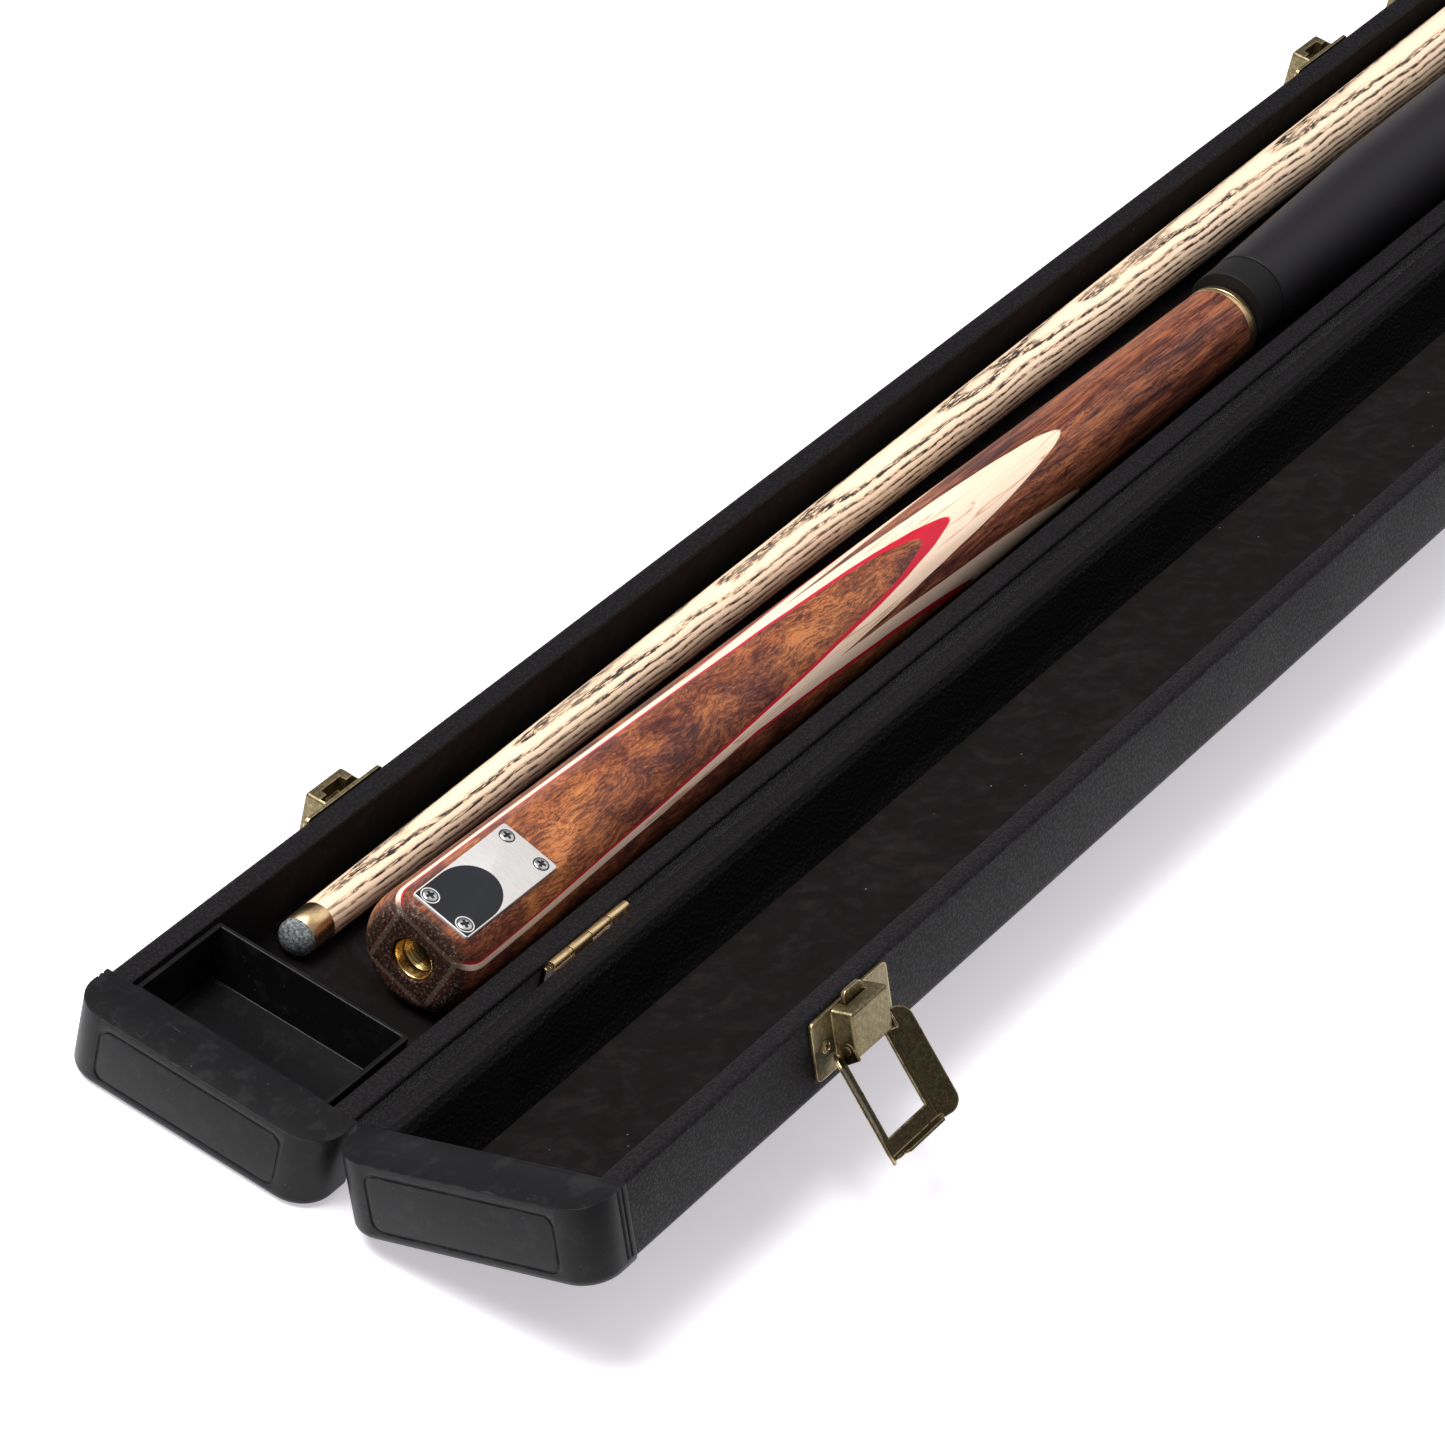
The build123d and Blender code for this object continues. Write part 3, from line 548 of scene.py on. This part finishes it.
def tray_place(tray):
    """Matrix from mm (out from the hinge, along from the near end, up) to metres in the scene."""
    hinge = next(joint for joint in frame["joints"] if joint["name"] == "lid_hinge")["pos_m"]
    if tray == "base":
        out, up = Vector((-1, 0, 0)), Vector((0, 0, 1))
    else:
        out = Vector((math.cos(LID_RISE), 0, math.sin(LID_RISE)))
        up = Vector((-math.sin(LID_RISE), 0, math.cos(LID_RISE)))
    place = Matrix.Translation(hinge) @ axes_in_mm(out, Vector((0, 1, 0)), up)
    return place @ Matrix.Translation((0, -CASE_LENGTH / 2, 0))


places = {tray: tray_place(tray) for tray in ("base", "lid")}


def swept(mesh_data, outline, place, stations, wobble):
    """Draws a closed outline along a tray; 'wobble' gives each point a small push."""
    rings = []
    for station in stations:
        ring = []
        for across, height in outline:
            spot = Vector((across, station, height))
            ring.append(mesh_data.verts.new(place @ (spot + wobble(spot))))
        rings.append(ring)
    skin(mesh_data, rings)


def lathed(mesh_data, start, direction, outline, steps=96, shape=None):
    """Turns (along, radius) points in mm round a rod's axis that starts at 'start' in metres.
    An outline that doesn't start or end on the axis gets a flat cap there."""
    along = direction.normalized()
    side = along.cross(Vector((0, 0, 1))).normalized()
    up = side.cross(along)
    rings = []
    for reach, radius in outline:
        ring = []
        for step in range(steps):
            angle = 2 * math.pi * step / steps
            spot = side * (math.cos(angle) * radius) + up * (math.sin(angle) * radius)
            spot = along * reach + spot
            if shape:
                spot = shape(spot, reach)
            ring.append(mesh_data.verts.new(start + spot * MM))
        rings.append(ring)
    skin(mesh_data, rings, capped=False)
    for ring, (_, radius) in ((rings[0], outline[0]), (rings[-1], outline[-1])):
        if radius > 0:
            mesh_data.faces.new(ring)
    bmesh.ops.remove_doubles(mesh_data, verts=mesh_data.verts, dist=1e-6)


def rod_line(near, far, near_radius, far_radius, length):
    """Start (metres) and direction of a tapered rod that lies on the floor liner."""
    low, high = (Vector(corner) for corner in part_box(near))
    last_low, last_high = (Vector(corner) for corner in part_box(far))
    start = Vector(((low.x + high.x) / 2, low.y, low.z + near_radius * MM))
    end = Vector(((last_low.x + last_high.x) / 2, low.y + length * MM,
                  last_low.z + far_radius * MM))
    return start, end - start


def evenly(first, last, step):
    count = round((last - first) / step)
    return [first + (last - first) * number / count for number in range(count + 1)]


def taper(first, last, near_radius, far_radius, length, step):
    """(along, radius) points from 'first' to 'last' down a rod that's 'length' long in all."""
    return [(reach, near_radius + (far_radius - near_radius) * reach / length)
            for reach in evenly(first, last, step)]


# ---- where the cue lies ----
butt_start, butt_line = rod_line("butt_wood", "butt_joint", BUTT_RADIUS, JOINT_RADIUS + 0.1,
                                 BUTT_LENGTH)
shaft_start, shaft_line = rod_line("shaft_ferrule", "shaft_joint", TIP_RADIUS, JOINT_RADIUS,
                                   SHAFT_LENGTH)
butt_along = butt_line.normalized()
butt_up = square_to(butt_along, Matrix.Rotation(BADGE_LEAN, 3, butt_along) @ Vector((0, 0, 1)))
badge_start = butt_start + (butt_along * BADGE_MIDDLE + butt_up * FLAT) * MM


def badge_face():
    """Brushed plate with a black panel that ends in a half round. It carries no lettering."""
    made = Shader("badge_face", Anisotropic=0.3, Specular_IOR_Level=0.2)
    at = rod_frame(made, badge_start, butt_along, butt_up)
    x, y, _ = made.split(at)
    wide, foot, start, reach = 7.75, -17.65, -7.6, 10.2
    screw_gap, steel_ring, blur = 2.01, 2.33, 0.03
    side = made.math("ABSOLUTE", x)
    past = made.math("MAXIMUM", made.math("DIVIDE", made.math("SUBTRACT", y, start), reach), 0.0)
    out = made.math("DIVIDE", side, wide)
    away = made.math("ADD", made.math("MULTIPLY", past, past), made.math("MULTIPLY", out, out))
    panel = made.math("MULTIPLY", made.step(away, 1.01, 0.985),
                      made.step(y, foot - blur, foot + blur))
    from_row = made.math("SUBTRACT", side, BADGE_HOLES[0] / 2)
    from_line = made.math("SUBTRACT", made.math("ABSOLUTE", y), BADGE_HOLES[1] / 2)
    round_hole = made.math("SQRT", made.math("ADD", made.math("MULTIPLY", from_row, from_row),
                           made.math("MULTIPLY", from_line, from_line)))
    beyond_ring = made.step(round_hole, steel_ring - blur, steel_ring + blur)
    # Painted shade: a black ring fills the gap round each screw head, and from here 'panel' holds it as well as
    # the black panel.
    screw_gap_shade = made.step(round_hole, screw_gap + blur, screw_gap - blur)
    panel = made.math("MAXIMUM", made.math("MULTIPLY", panel, beyond_ring), screw_gap_shade)
    lines = made.noise(0.2, 3, 0.6, made.stretch((0.05, 1, 1), at))
    steel = made.ramp(lines, (0.3, (0.6, 0.575, 0.55)), (0.7, (0.74, 0.715, 0.69)))
    made.set(Base_Color=made.mix(panel, steel, (0.014, 0.015, 0.018)))
    made.set(Metallic=made.math("MULTIPLY_ADD", panel, -0.45, 0.45))
    made.set(Roughness=made.math("MULTIPLY_ADD", lines, 0.12, 0.36))
    made.set(Normal=made.bump(made.math("MULTIPLY_ADD", panel, -2, lines), 0.012))
    return made.material


materials = {
    "leatherette": leatherette("leatherette", 0.75, 0.05, 0.5, 0.14, 1),
    "padded_leatherette": leatherette("padded_leatherette", 1.15, 0.1, 0.46, 0.13, 0.25),
    "suede": suede(),
    "cap_plastic": moulded("cap_plastic", (0.0045, 0.0045, 0.005), (0.06, 0.06, 0.062), 0.3),
    "box_plastic": moulded("box_plastic", (0.0035, 0.0035, 0.004), (0.035, 0.035, 0.038), 0.24),
    "case_wood": bare_wood(),
    "bright_brass": bright_brass(),
    "bush_brass": bright_brass("bush_brass"),
    "hinge_brass": bright_brass("hinge_brass"),
    "aged_brass": aged_brass("aged_brass", 0.18),
    # The bail's copy carries more painted shade.
    "bail_brass": aged_brass("bail_brass", 0.7),
    "badge_steel": brushed_steel(),
    "badge_face": badge_face(),
    "tube_dark": satin("tube_dark", (0.0066, 0.0055, 0.0067), (0.01, 0.0085, 0.0105), 0.42),
    "collar_black": satin("collar_black", (0.002, 0.002, 0.0022), (0.0035, 0.0035, 0.0035), 0.6),
    "tip_leather": tip_leather(),
    "strap_leather": strap_leather(),
    "thread": thread(),
    "ash": ash(shaft_start, shaft_line, Vector((-0.35, 0, 1))),
    "rosewood": spliced_butt(butt_start, butt_line, butt_up),
}
for name, piece in nodes.items():
    piece.data.materials.clear()
    piece.data.materials.append(materials[slots[name]])


# ---- the trays' coverings, the padded wall and the moulded pieces ----
def hand_laid(depth, size, seed):
    """Slight unevenness for glued-down leatherette: it only ever pulls inwards."""
    def wobble(spot):
        lump = noise.noise(Vector((spot.x / size, spot.y / size + seed, spot.z / size)))
        towards = Vector((35, spot.y, -10)) - spot
        return towards.normalized() * (lump * 0.5 + 0.5) * depth
    return wobble


INNER, DEPTH, TURN_IN, SHEET = 1.5, -20, 6, 0.6
RIM, HEM = -0.15, -0.75
COVER = rounded([
    (INNER + TURN_IN, HEM, 0), (INNER + TURN_IN, RIM, 0.45), (INNER, RIM, 1.3),
    (INNER, DEPTH, 2.5), (OUTER, DEPTH, 2.5), (OUTER, RIM, 1.3), (OUTER - TURN_IN, RIM, 0.45),
    (OUTER - TURN_IN, HEM, 0), (OUTER - SHEET, HEM, 0), (OUTER - SHEET, DEPTH + SHEET, 1.9),
    (INNER + SHEET, DEPTH + SHEET, 1.9), (INNER + SHEET, HEM, 0)])
for number, tray in enumerate(places):
    mesh_data = bmesh.new()
    stations = evenly(CAP_DEPTH, CASE_LENGTH - CAP_DEPTH, 8)
    swept(mesh_data, COVER, places[tray], stations, hand_laid(0.1, 30, number * 9))
    finished(tray + "_leatherette", mesh_data, tray, materials["leatherette"],
             [tray + "_covering"], 50)


def puckered(spot):
    """The pad's fullness varies along its length, with shallow puckers."""
    on_wall_or_floor = spot.z > -1 or spot.x < 7.2 or spot.z < -16.9
    if on_wall_or_floor:
        return Vector()
    full = noise.noise(Vector((0, spot.y / 34, 0))) * 0.5
    pucker = noise.noise(Vector((spot.z / 9, spot.y / 7, 3))) * 0.22
    return Vector((full + pucker - 0.25, 0, 0))


WALL = rounded([(7, -17.1, 0), (12.9, -17.1, 0), (12.0, -13.6, 4), (10.2, -2.7, 2.6),
                (8.9, -0.35, 1.2), (7.2, -0.13, 0), (6.8, -0.8, 0)], 9)
mesh_data = bmesh.new()
swept(mesh_data, WALL, places["lid"], evenly(CAP_DEPTH, CASE_LENGTH - CAP_DEPTH, 2.5), puckered)
pad = finished("lid_padded_wall", mesh_data, "lid",
               materials["padded_leatherette"], ["lid_hinge_pad"], 60)

for name, width in (
    ("base_near_cap", 0.4), ("base_far_cap", 0.4), ("lid_near_cap", 0.4), ("lid_far_cap", 0.4),
    ("accessory_box", 0.35), ("handle_brackets", 0.5),
):
    softened(name, width, materials[slots[name]])
for place in STATIONS:
    for name, width, look in (
        ("keeper_", 0.22, "aged_brass"), ("latch_", 0.22, "aged_brass"),
        ("bail_", 0.16, "bail_brass"), ("hinge_base_leaf_", 0.14, "hinge_brass"),
        ("hinge_lid_leaf_", 0.14, "bright_brass"),
    ):
        softened(name + place, width, materials[look])


# ---- the cue and its extension ----
def flattened(spot, reach):
    """Presses the butt's top down to the badge's seat, which runs out to the round."""
    run = max(0, reach - FLAT_END) / (FLAT_RUN - FLAT_END)
    level = FLAT + (BUTT_RADIUS + 0.35 - FLAT) * run
    over = spot.dot(butt_up) - level
    return spot - butt_up * over if over > 0 and reach < FLAT_RUN else spot


def rod(name, body, node, start, line, outline, smooth=30, steps=96, shape=None, look=None):
    """One turned piece of the cue or the extension, which stands for one CAD node."""
    mesh_data = bmesh.new()
    lathed(mesh_data, start, line, outline, steps, shape)
    finished(name, mesh_data, body, look or materials[slots[node]], [node], smooth)


last = SHAFT_LENGTH - RING
rod("cue_tip", "cue_shaft", "shaft_tip", shaft_start, shaft_line,
    [(-4, 0), (-3.96, 0.8), (-3.8, 1.6), (-3.45, 2.5), (-2.9, 3.4), (-2.3, 4.0), (-1.8, 4.35),
     (-1.3, 4.55), (-0.7, 4.62), (0, 4.6), (0, 0)], 60)
rod("cue_ferrule", "cue_shaft", "shaft_ferrule", shaft_start, shaft_line,
    [(0, 0), (0, 4.7), (0.12, 4.8), (7.3, 4.84), (7.42, 4.8), (7.5, 4.8), (7.5, 0)], 40)
rod("cue_shaft_ash", "cue_shaft", "shaft_wood", shaft_start, shaft_line,
    [(7.5, 0)] + taper(7.5, last, TIP_RADIUS, JOINT_RADIUS, SHAFT_LENGTH, 20) + [(last, 0)])
rod("cue_shaft_joint", "cue_shaft", "shaft_joint", shaft_start, shaft_line,
    [(last, 0), (last, 10.68), (last + 0.2, 10.7), (SHAFT_LENGTH - 0.3, 10.7),
     (SHAFT_LENGTH, 10.4), (SHAFT_LENGTH, 4.6)]
    + [(SHAFT_LENGTH + 1 + 0.5 * turn, 4.2 if turn % 2 else 3.85) for turn in range(27)]
    + [(SHAFT_LENGTH + 15, 3.4), (SHAFT_LENGTH + 15, 0)], 40)

wood_end = BUTT_LENGTH - RING
end_round = [(6.5 * (1 - math.cos(turn)), 10.6 + 4.55 * math.sin(turn))
             for turn in (math.radians(7.5 * step) for step in range(13))]
rod("cue_butt_spliced", "cue_butt", "butt_wood", butt_start, butt_line,
    [(BUSH_DEPTH, 0), (BUSH_DEPTH, BUSH_RADIUS), (0.15, BUSH_RADIUS), (0, BUSH_RADIUS + 0.2),
     (0, 8.5)] + end_round
    + taper(7.3, 70, BUTT_RADIUS, JOINT_RADIUS, BUTT_LENGTH, 1)
    + taper(75, wood_end, BUTT_RADIUS, JOINT_RADIUS, BUTT_LENGTH, 8) + [(wood_end, 0)],
    24, 192, flattened)
threads = [(BUSH_DEPTH - 0.6 - 0.55 * turn, BUSH_BORE + (0.34 if turn % 2 else -0.06))
           for turn in range(19)]
rod("cue_butt_bush", "cue_butt", "butt_bush", butt_start, butt_line,
    [(BUSH_DEPTH - 0.4, 0), (BUSH_DEPTH - 0.4, BUSH_BORE)] + threads
    + [(2.4, BUSH_BORE), (1.8, 4.75), (0.95, 4.8), (0.7, 4.95), (0.62, 5.1), (0.65, 5.35),
       (0.85, 5.48), (BUSH_DEPTH, 5.48), (BUSH_DEPTH, 0)], 28, look=materials["bush_brass"])
rod("cue_butt_joint", "cue_butt", "butt_joint", butt_start, butt_line,
    [(wood_end, 0), (wood_end, 10.75), (wood_end + 0.15, 10.8), (wood_end + 1.5, 10.8),
     (wood_end + 1.62, 10.66), (wood_end + 1.8, 10.66), (wood_end + 1.92, 10.8),
     (BUTT_LENGTH - 0.4, 10.78), (BUTT_LENGTH - 0.05, 10.5), (BUTT_LENGTH, 10.2),
     (BUTT_LENGTH, 4.5), (BUTT_LENGTH - 0.4, 4.3), (BUTT_LENGTH - 3, 4.3),
     (BUTT_LENGTH - 3, 0)], 30)

collar_low, collar_high = (Vector(corner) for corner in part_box("extension_collar"))
tube_low, tube_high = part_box("extension_tube")
collar_start = Vector(((collar_low.x + collar_high.x) / 2, collar_low.y,
                       tube_low[2] + TUBE_RADIUS * MM))
tube_line = Vector((0, 1, 0))
tube_near = (tube_low[1] - collar_start.y) * 1000
tube_far = (tube_high[1] - collar_start.y) * 1000
rod("extension_collar_turned", "extension", "extension_collar", collar_start, tube_line,
    [(0, 5), (0, 10.6), (0.1, 10.95), (0.4, 11.17), (0.8, COLLAR_RADIUS),
     (tube_near - 0.5, COLLAR_RADIUS), (tube_near - 0.35, 10.9), (tube_near, 10.9),
     (tube_near, 5), (0, 5)], 30)
rod("extension_tube_turned", "extension", "extension_tube", collar_start, tube_line,
    [(tube_near, TUBE_BORE), (tube_near, 11), (tube_near + 0.08, 11.25),
     (tube_near + 0.35, 11.42)]
    + [(tube_near + reach, radius)
       for reach, radius in taper(1, TUBE_TAPER, TUBE_MOUTH, TUBE_RADIUS, TUBE_TAPER, 4)]
    + [(reach, TUBE_RADIUS) for reach in evenly(tube_near + TUBE_TAPER + 4, tube_far - 10, 30)]
    + [(tube_far - 0.3, TUBE_RADIUS), (tube_far, 13.8), (tube_far, TUBE_BORE),
       (tube_near, TUBE_BORE)], 40)
rod("extension_end_cap", "extension", "extension_cap", collar_start, tube_line,
    [(tube_far, 0), (tube_far, 13.8), (tube_far + 0.3, TUBE_RADIUS), (tube_far + 6, TUBE_RADIUS),
     (tube_far + 6.2, 13.7), (tube_far + 7, 13.7), (tube_far + 7.2, TUBE_RADIUS),
     (tube_far + 11, TUBE_RADIUS)]
    + [(tube_far + 11 + 3 * math.sin(turn), TUBE_RADIUS - 3 + 3 * math.cos(turn))
       for turn in (math.radians(15 * step) for step in range(1, 7))]
    + [(tube_far + 14, 0)], 30)


# ---- badge, screws and pins ----
def plane_at(origin, normal, along):
    """Matrix whose x lies across, y along and z out of a surface; mm in, metres out."""
    normal = normal.normalized()
    along = square_to(normal, along)
    return Matrix.Translation(origin) @ axes_in_mm(along.cross(normal), along, normal)


def plate(mesh_data, place, size, corner, thick, soft):
    """Rounded rectangle with a rolled top edge."""
    across, along = size[0] / 2, size[1] / 2
    rings = []
    for inset, height in ((0, 0), (0, thick - soft), (soft * 0.3, thick - soft * 0.3),
                          (soft, thick)):
        wide, tall = across - inset, along - inset
        outline = rounded([(wide, tall, corner - inset), (-wide, tall, corner - inset),
                           (-wide, -tall, corner - inset), (wide, -tall, corner - inset)], 6)
        rings.append([mesh_data.verts.new(place @ Vector((*spot, height))) for spot in outline])
    skin(mesh_data, rings)


badge_place = plane_at(badge_start, butt_up, butt_along)
mesh_data = bmesh.new()
plate(mesh_data, badge_place, BADGE_SIZE, 0.9, BADGE_THICK, 0.18)
finished("badge", mesh_data, "cue_butt", materials["badge_face"], ["badge_plate"],
         50)


def screw_head(mesh_data, place, radius, rise, spin):
    """Domed head with a cross recess and a skirt that goes into the surface."""
    grid, arm_half, arm_end = 34, 0.2, 0.66
    verts = {}
    for row in range(grid + 1):
        for column in range(grid + 1):
            u, v = 2 * column / grid - 1, 2 * row / grid - 1
            x, y = u * math.sqrt(1 - v * v / 2), v * math.sqrt(1 - u * u / 2)
            away = x * x + y * y
            height = rise * (1 - away ** 2 * 0.75)
            a = abs(x * math.cos(spin) - y * math.sin(spin))
            b = abs(x * math.sin(spin) + y * math.cos(spin))
            narrow, long = min(a, b), max(a, b)
            if narrow < arm_half and long < arm_end:
                height -= radius * 0.75 * min(1, (arm_end + 0.04 - long) * 4)
            verts[row, column] = mesh_data.verts.new(place @ Vector((x * radius, y * radius,
                                                                     height)))
    for row in range(grid):
        for column in range(grid):
            mesh_data.faces.new((verts[row, column], verts[row, column + 1],
                                 verts[row + 1, column + 1], verts[row + 1, column]))
    border = [verts[0, c] for c in range(grid)] + [verts[r, grid] for r in range(grid)]
    border += [verts[grid, c] for c in range(grid, 0, -1)]
    border += [verts[r, 0] for r in range(grid, 0, -1)]
    down = place.to_3x3() @ Vector((0, 0, -radius * 0.3))
    foot = [mesh_data.verts.new(vert.co + down) for vert in border]
    for number, vert in enumerate(border):
        other = (number + 1) % len(border)
        mesh_data.faces.new((vert, border[other], foot[other], foot[number]))
    mesh_data.faces.new(foot[::-1])


random.seed(7)


def screw_set(name, body, node, spots, radius, rise):
    """One node's screws, each stopped at its own angle."""
    mesh_data = bmesh.new()
    for place in spots:
        screw_head(mesh_data, place, radius, rise, random.uniform(0, math.pi / 2))
    finished(name, mesh_data, body, materials[slots[node]], [node], 40)


def side_spot(tray, out, station, height, outward=1):
    """Place on a tray's side wall."""
    place = places[tray]
    normal = place.to_3x3() @ Vector((outward, 0, 0))
    return plane_at(place @ Vector((out, station, height)), normal, Vector((0, 1, 0)))


for node, tray, out, height, shift, radius, rise, outward in (
    ("hinge_base_screws", "base", 0.8, -6.5, 9.5, 1.5, 0.3, -1),
    ("hinge_lid_screws", "lid", 0.8, -6.5, 9.5, 1.5, 0.3, -1),
    ("keeper_screws", "base", OUTER + 0.8, -8.4, 11, 1.6, 0.5, 1),
    ("latch_screws", "lid", OUTER + 0.8, -9.1, 11, 1.6, 0.5, 1),
):
    spots = [side_spot(tray, out, station + side * shift, height, outward)
             for station in STATIONS.values() for side in (-1, 1)]
    screw_set(node + "_heads", tray, node, spots, radius, rise)
badge_spots = [badge_place @ Matrix.Translation((across * BADGE_HOLES[0] / 2,
                                                 along * BADGE_HOLES[1] / 2, BADGE_THICK))
               for across in (-1, 1) for along in (-1, 1)]
screw_set("badge_screw_heads", "cue_butt", "badge_screws", badge_spots, 1.7, 0.3)


def pin_set(name, body, node, tray, out, height, half, radius, head):
    """Pins along the case with rounded or peened ends."""
    mesh_data = bmesh.new()
    for station in STATIONS.values():
        start = places[tray] @ Vector((out, station, height))
        lathed(mesh_data, start, Vector((0, 1, 0)),
               [(-half, 0), (-half, head * 0.7), (-half + 0.12, head), (-half + 0.4, head),
                (-half + 0.45, radius), (half - 0.45, radius), (half - 0.4, head),
                (half - 0.12, head), (half, head * 0.7), (half, 0)], 32)
    finished(name, mesh_data, body, materials[slots[node]], [node], 35)


pin_set("hinge_pin_rods", "base", "hinge_pins", "base", 0, 0, 14.8, 0.5, 0.5)
pin_set("latch_pin_rods", "lid", "latch_pins", "lid", OUTER + 4.4, -11, 8.75, 0.8, 1.15)


# ---- handle ----
def strap():
    """Leather strap bowed out from its two brackets, with rolled edges and two stitch rows."""
    foot, half, bow, thick, tall = 13, 56, 20, 2.6, 13
    middle = CASE_LENGTH / 2 + 106
    bend = half - foot
    radius = (bow ** 2 + bend ** 2) / (2 * bow)
    sweep = math.asin(bend / radius)
    path = [(-half + foot * step / 6, 0, 0) for step in range(6)]
    for step in range(49):
        angle = sweep * (step / 24 - 1)
        path.append((radius * math.sin(angle), radius * math.cos(angle) - radius + bow, -angle))
    path += [(half - foot * step / 6, 0, 0) for step in range(5, -1, -1)]
    outline = rounded([(0.05, -tall / 2, 1), (thick, -tall / 2, 1), (thick, tall / 2, 1),
                       (0.05, tall / 2, 1)], 5)
    mesh_data, stitches = bmesh.new(), bmesh.new()
    rings = []
    place = places["base"]
    for along, out, lean in path:
        side = Vector((math.cos(lean), -math.sin(lean), 0))
        ring = []
        for depth, height in outline:
            spot = Vector((OUTER + out, middle + along, -10 + height)) + side * depth
            ring.append(mesh_data.verts.new(place @ spot))
        rings.append(ring)
    skin(mesh_data, rings)
    finished("handle_strap_leather", mesh_data, "base",
             materials["strap_leather"], ["handle_strap"], 50)
    for step in range(24):
        angle = sweep * 0.93 * (step / 11.5 - 1)
        side = Vector((math.cos(angle), math.sin(angle), 0))
        for height in (-4.6, 4.6):
            spot = Vector((OUTER + radius * math.cos(angle) - radius + bow,
                           middle + radius * math.sin(angle), -10 + height)) + side * thick
            size = Matrix.Diagonal((0.22, 1.25, 0.24, 1))
            turn = Matrix.Rotation(angle, 4, "Z")
            bmesh.ops.create_icosphere(stitches, subdivisions=2, radius=1, matrix=place
                                       @ Matrix.Translation(spot) @ turn @ size)
    finished("handle_stitches", stitches, "base", materials["thread"], (), 60)


strap()

# ---- floor, light and camera ----
bpy.ops.mesh.primitive_plane_add(size=14, location=(0, 0, 0))
floor = bpy.context.object
floor.name = "studio_floor"
paper = Shader("studio_paper", Base_Color=(0.9, 0.9, 0.91), Roughness=0.9,
               Specular_IOR_Level=0.1, Emission_Color=(0.99, 0.95, 1), Emission_Strength=0.46)
floor.data.materials.append(paper.material)

world = bpy.data.worlds.new("studio")
world.use_nodes = True
world.node_tree.nodes["Background"].inputs[0].default_value = (0.95, 0.93, 1, 1)
world.node_tree.nodes["Background"].inputs[1].default_value = 0.3
bpy.context.scene.world = world
bpy.context.scene.view_settings.view_transform = "Standard"


def softbox(name, place, target, size, power):
    lamp = bpy.data.lights.new(name, "AREA")
    lamp.shape = "RECTANGLE"
    lamp.size, lamp.size_y = size
    lamp.energy = power
    made = bpy.data.objects.new(name, lamp)
    made.location = place
    made.rotation_euler = (Vector(target) - Vector(place)).to_track_quat("-Z", "Y").to_euler()
    bpy.context.scene.collection.objects.link(made)


softbox("key_softbox", (-0.85, -0.9, 2.1), (0, -0.2, 0), (1.6, 1.6), 92)
softbox("fill_softbox", (0.5, 1.5, 2.0), (0, 0, 0), (2.2, 2.2), 12)

lens = bpy.data.cameras.new("camera")
lens.sensor_width = 36
lens.lens = 153.5678
lens.clip_end = 50
camera = bpy.data.objects.new("camera", lens)
# Rolled, then tilted up from straight down, then turned to the left.
camera.matrix_world = (Matrix.Translation((0.504855, -1.435166, 0.916064))
                       @ Matrix.Rotation(math.radians(25.0795), 4, "Z")
                       @ Matrix.Rotation(math.radians(52.2653), 4, "X")
                       @ Matrix.Rotation(math.radians(13.8488), 4, "Z"))
bpy.context.scene.collection.objects.link(camera)
bpy.context.scene.camera = camera
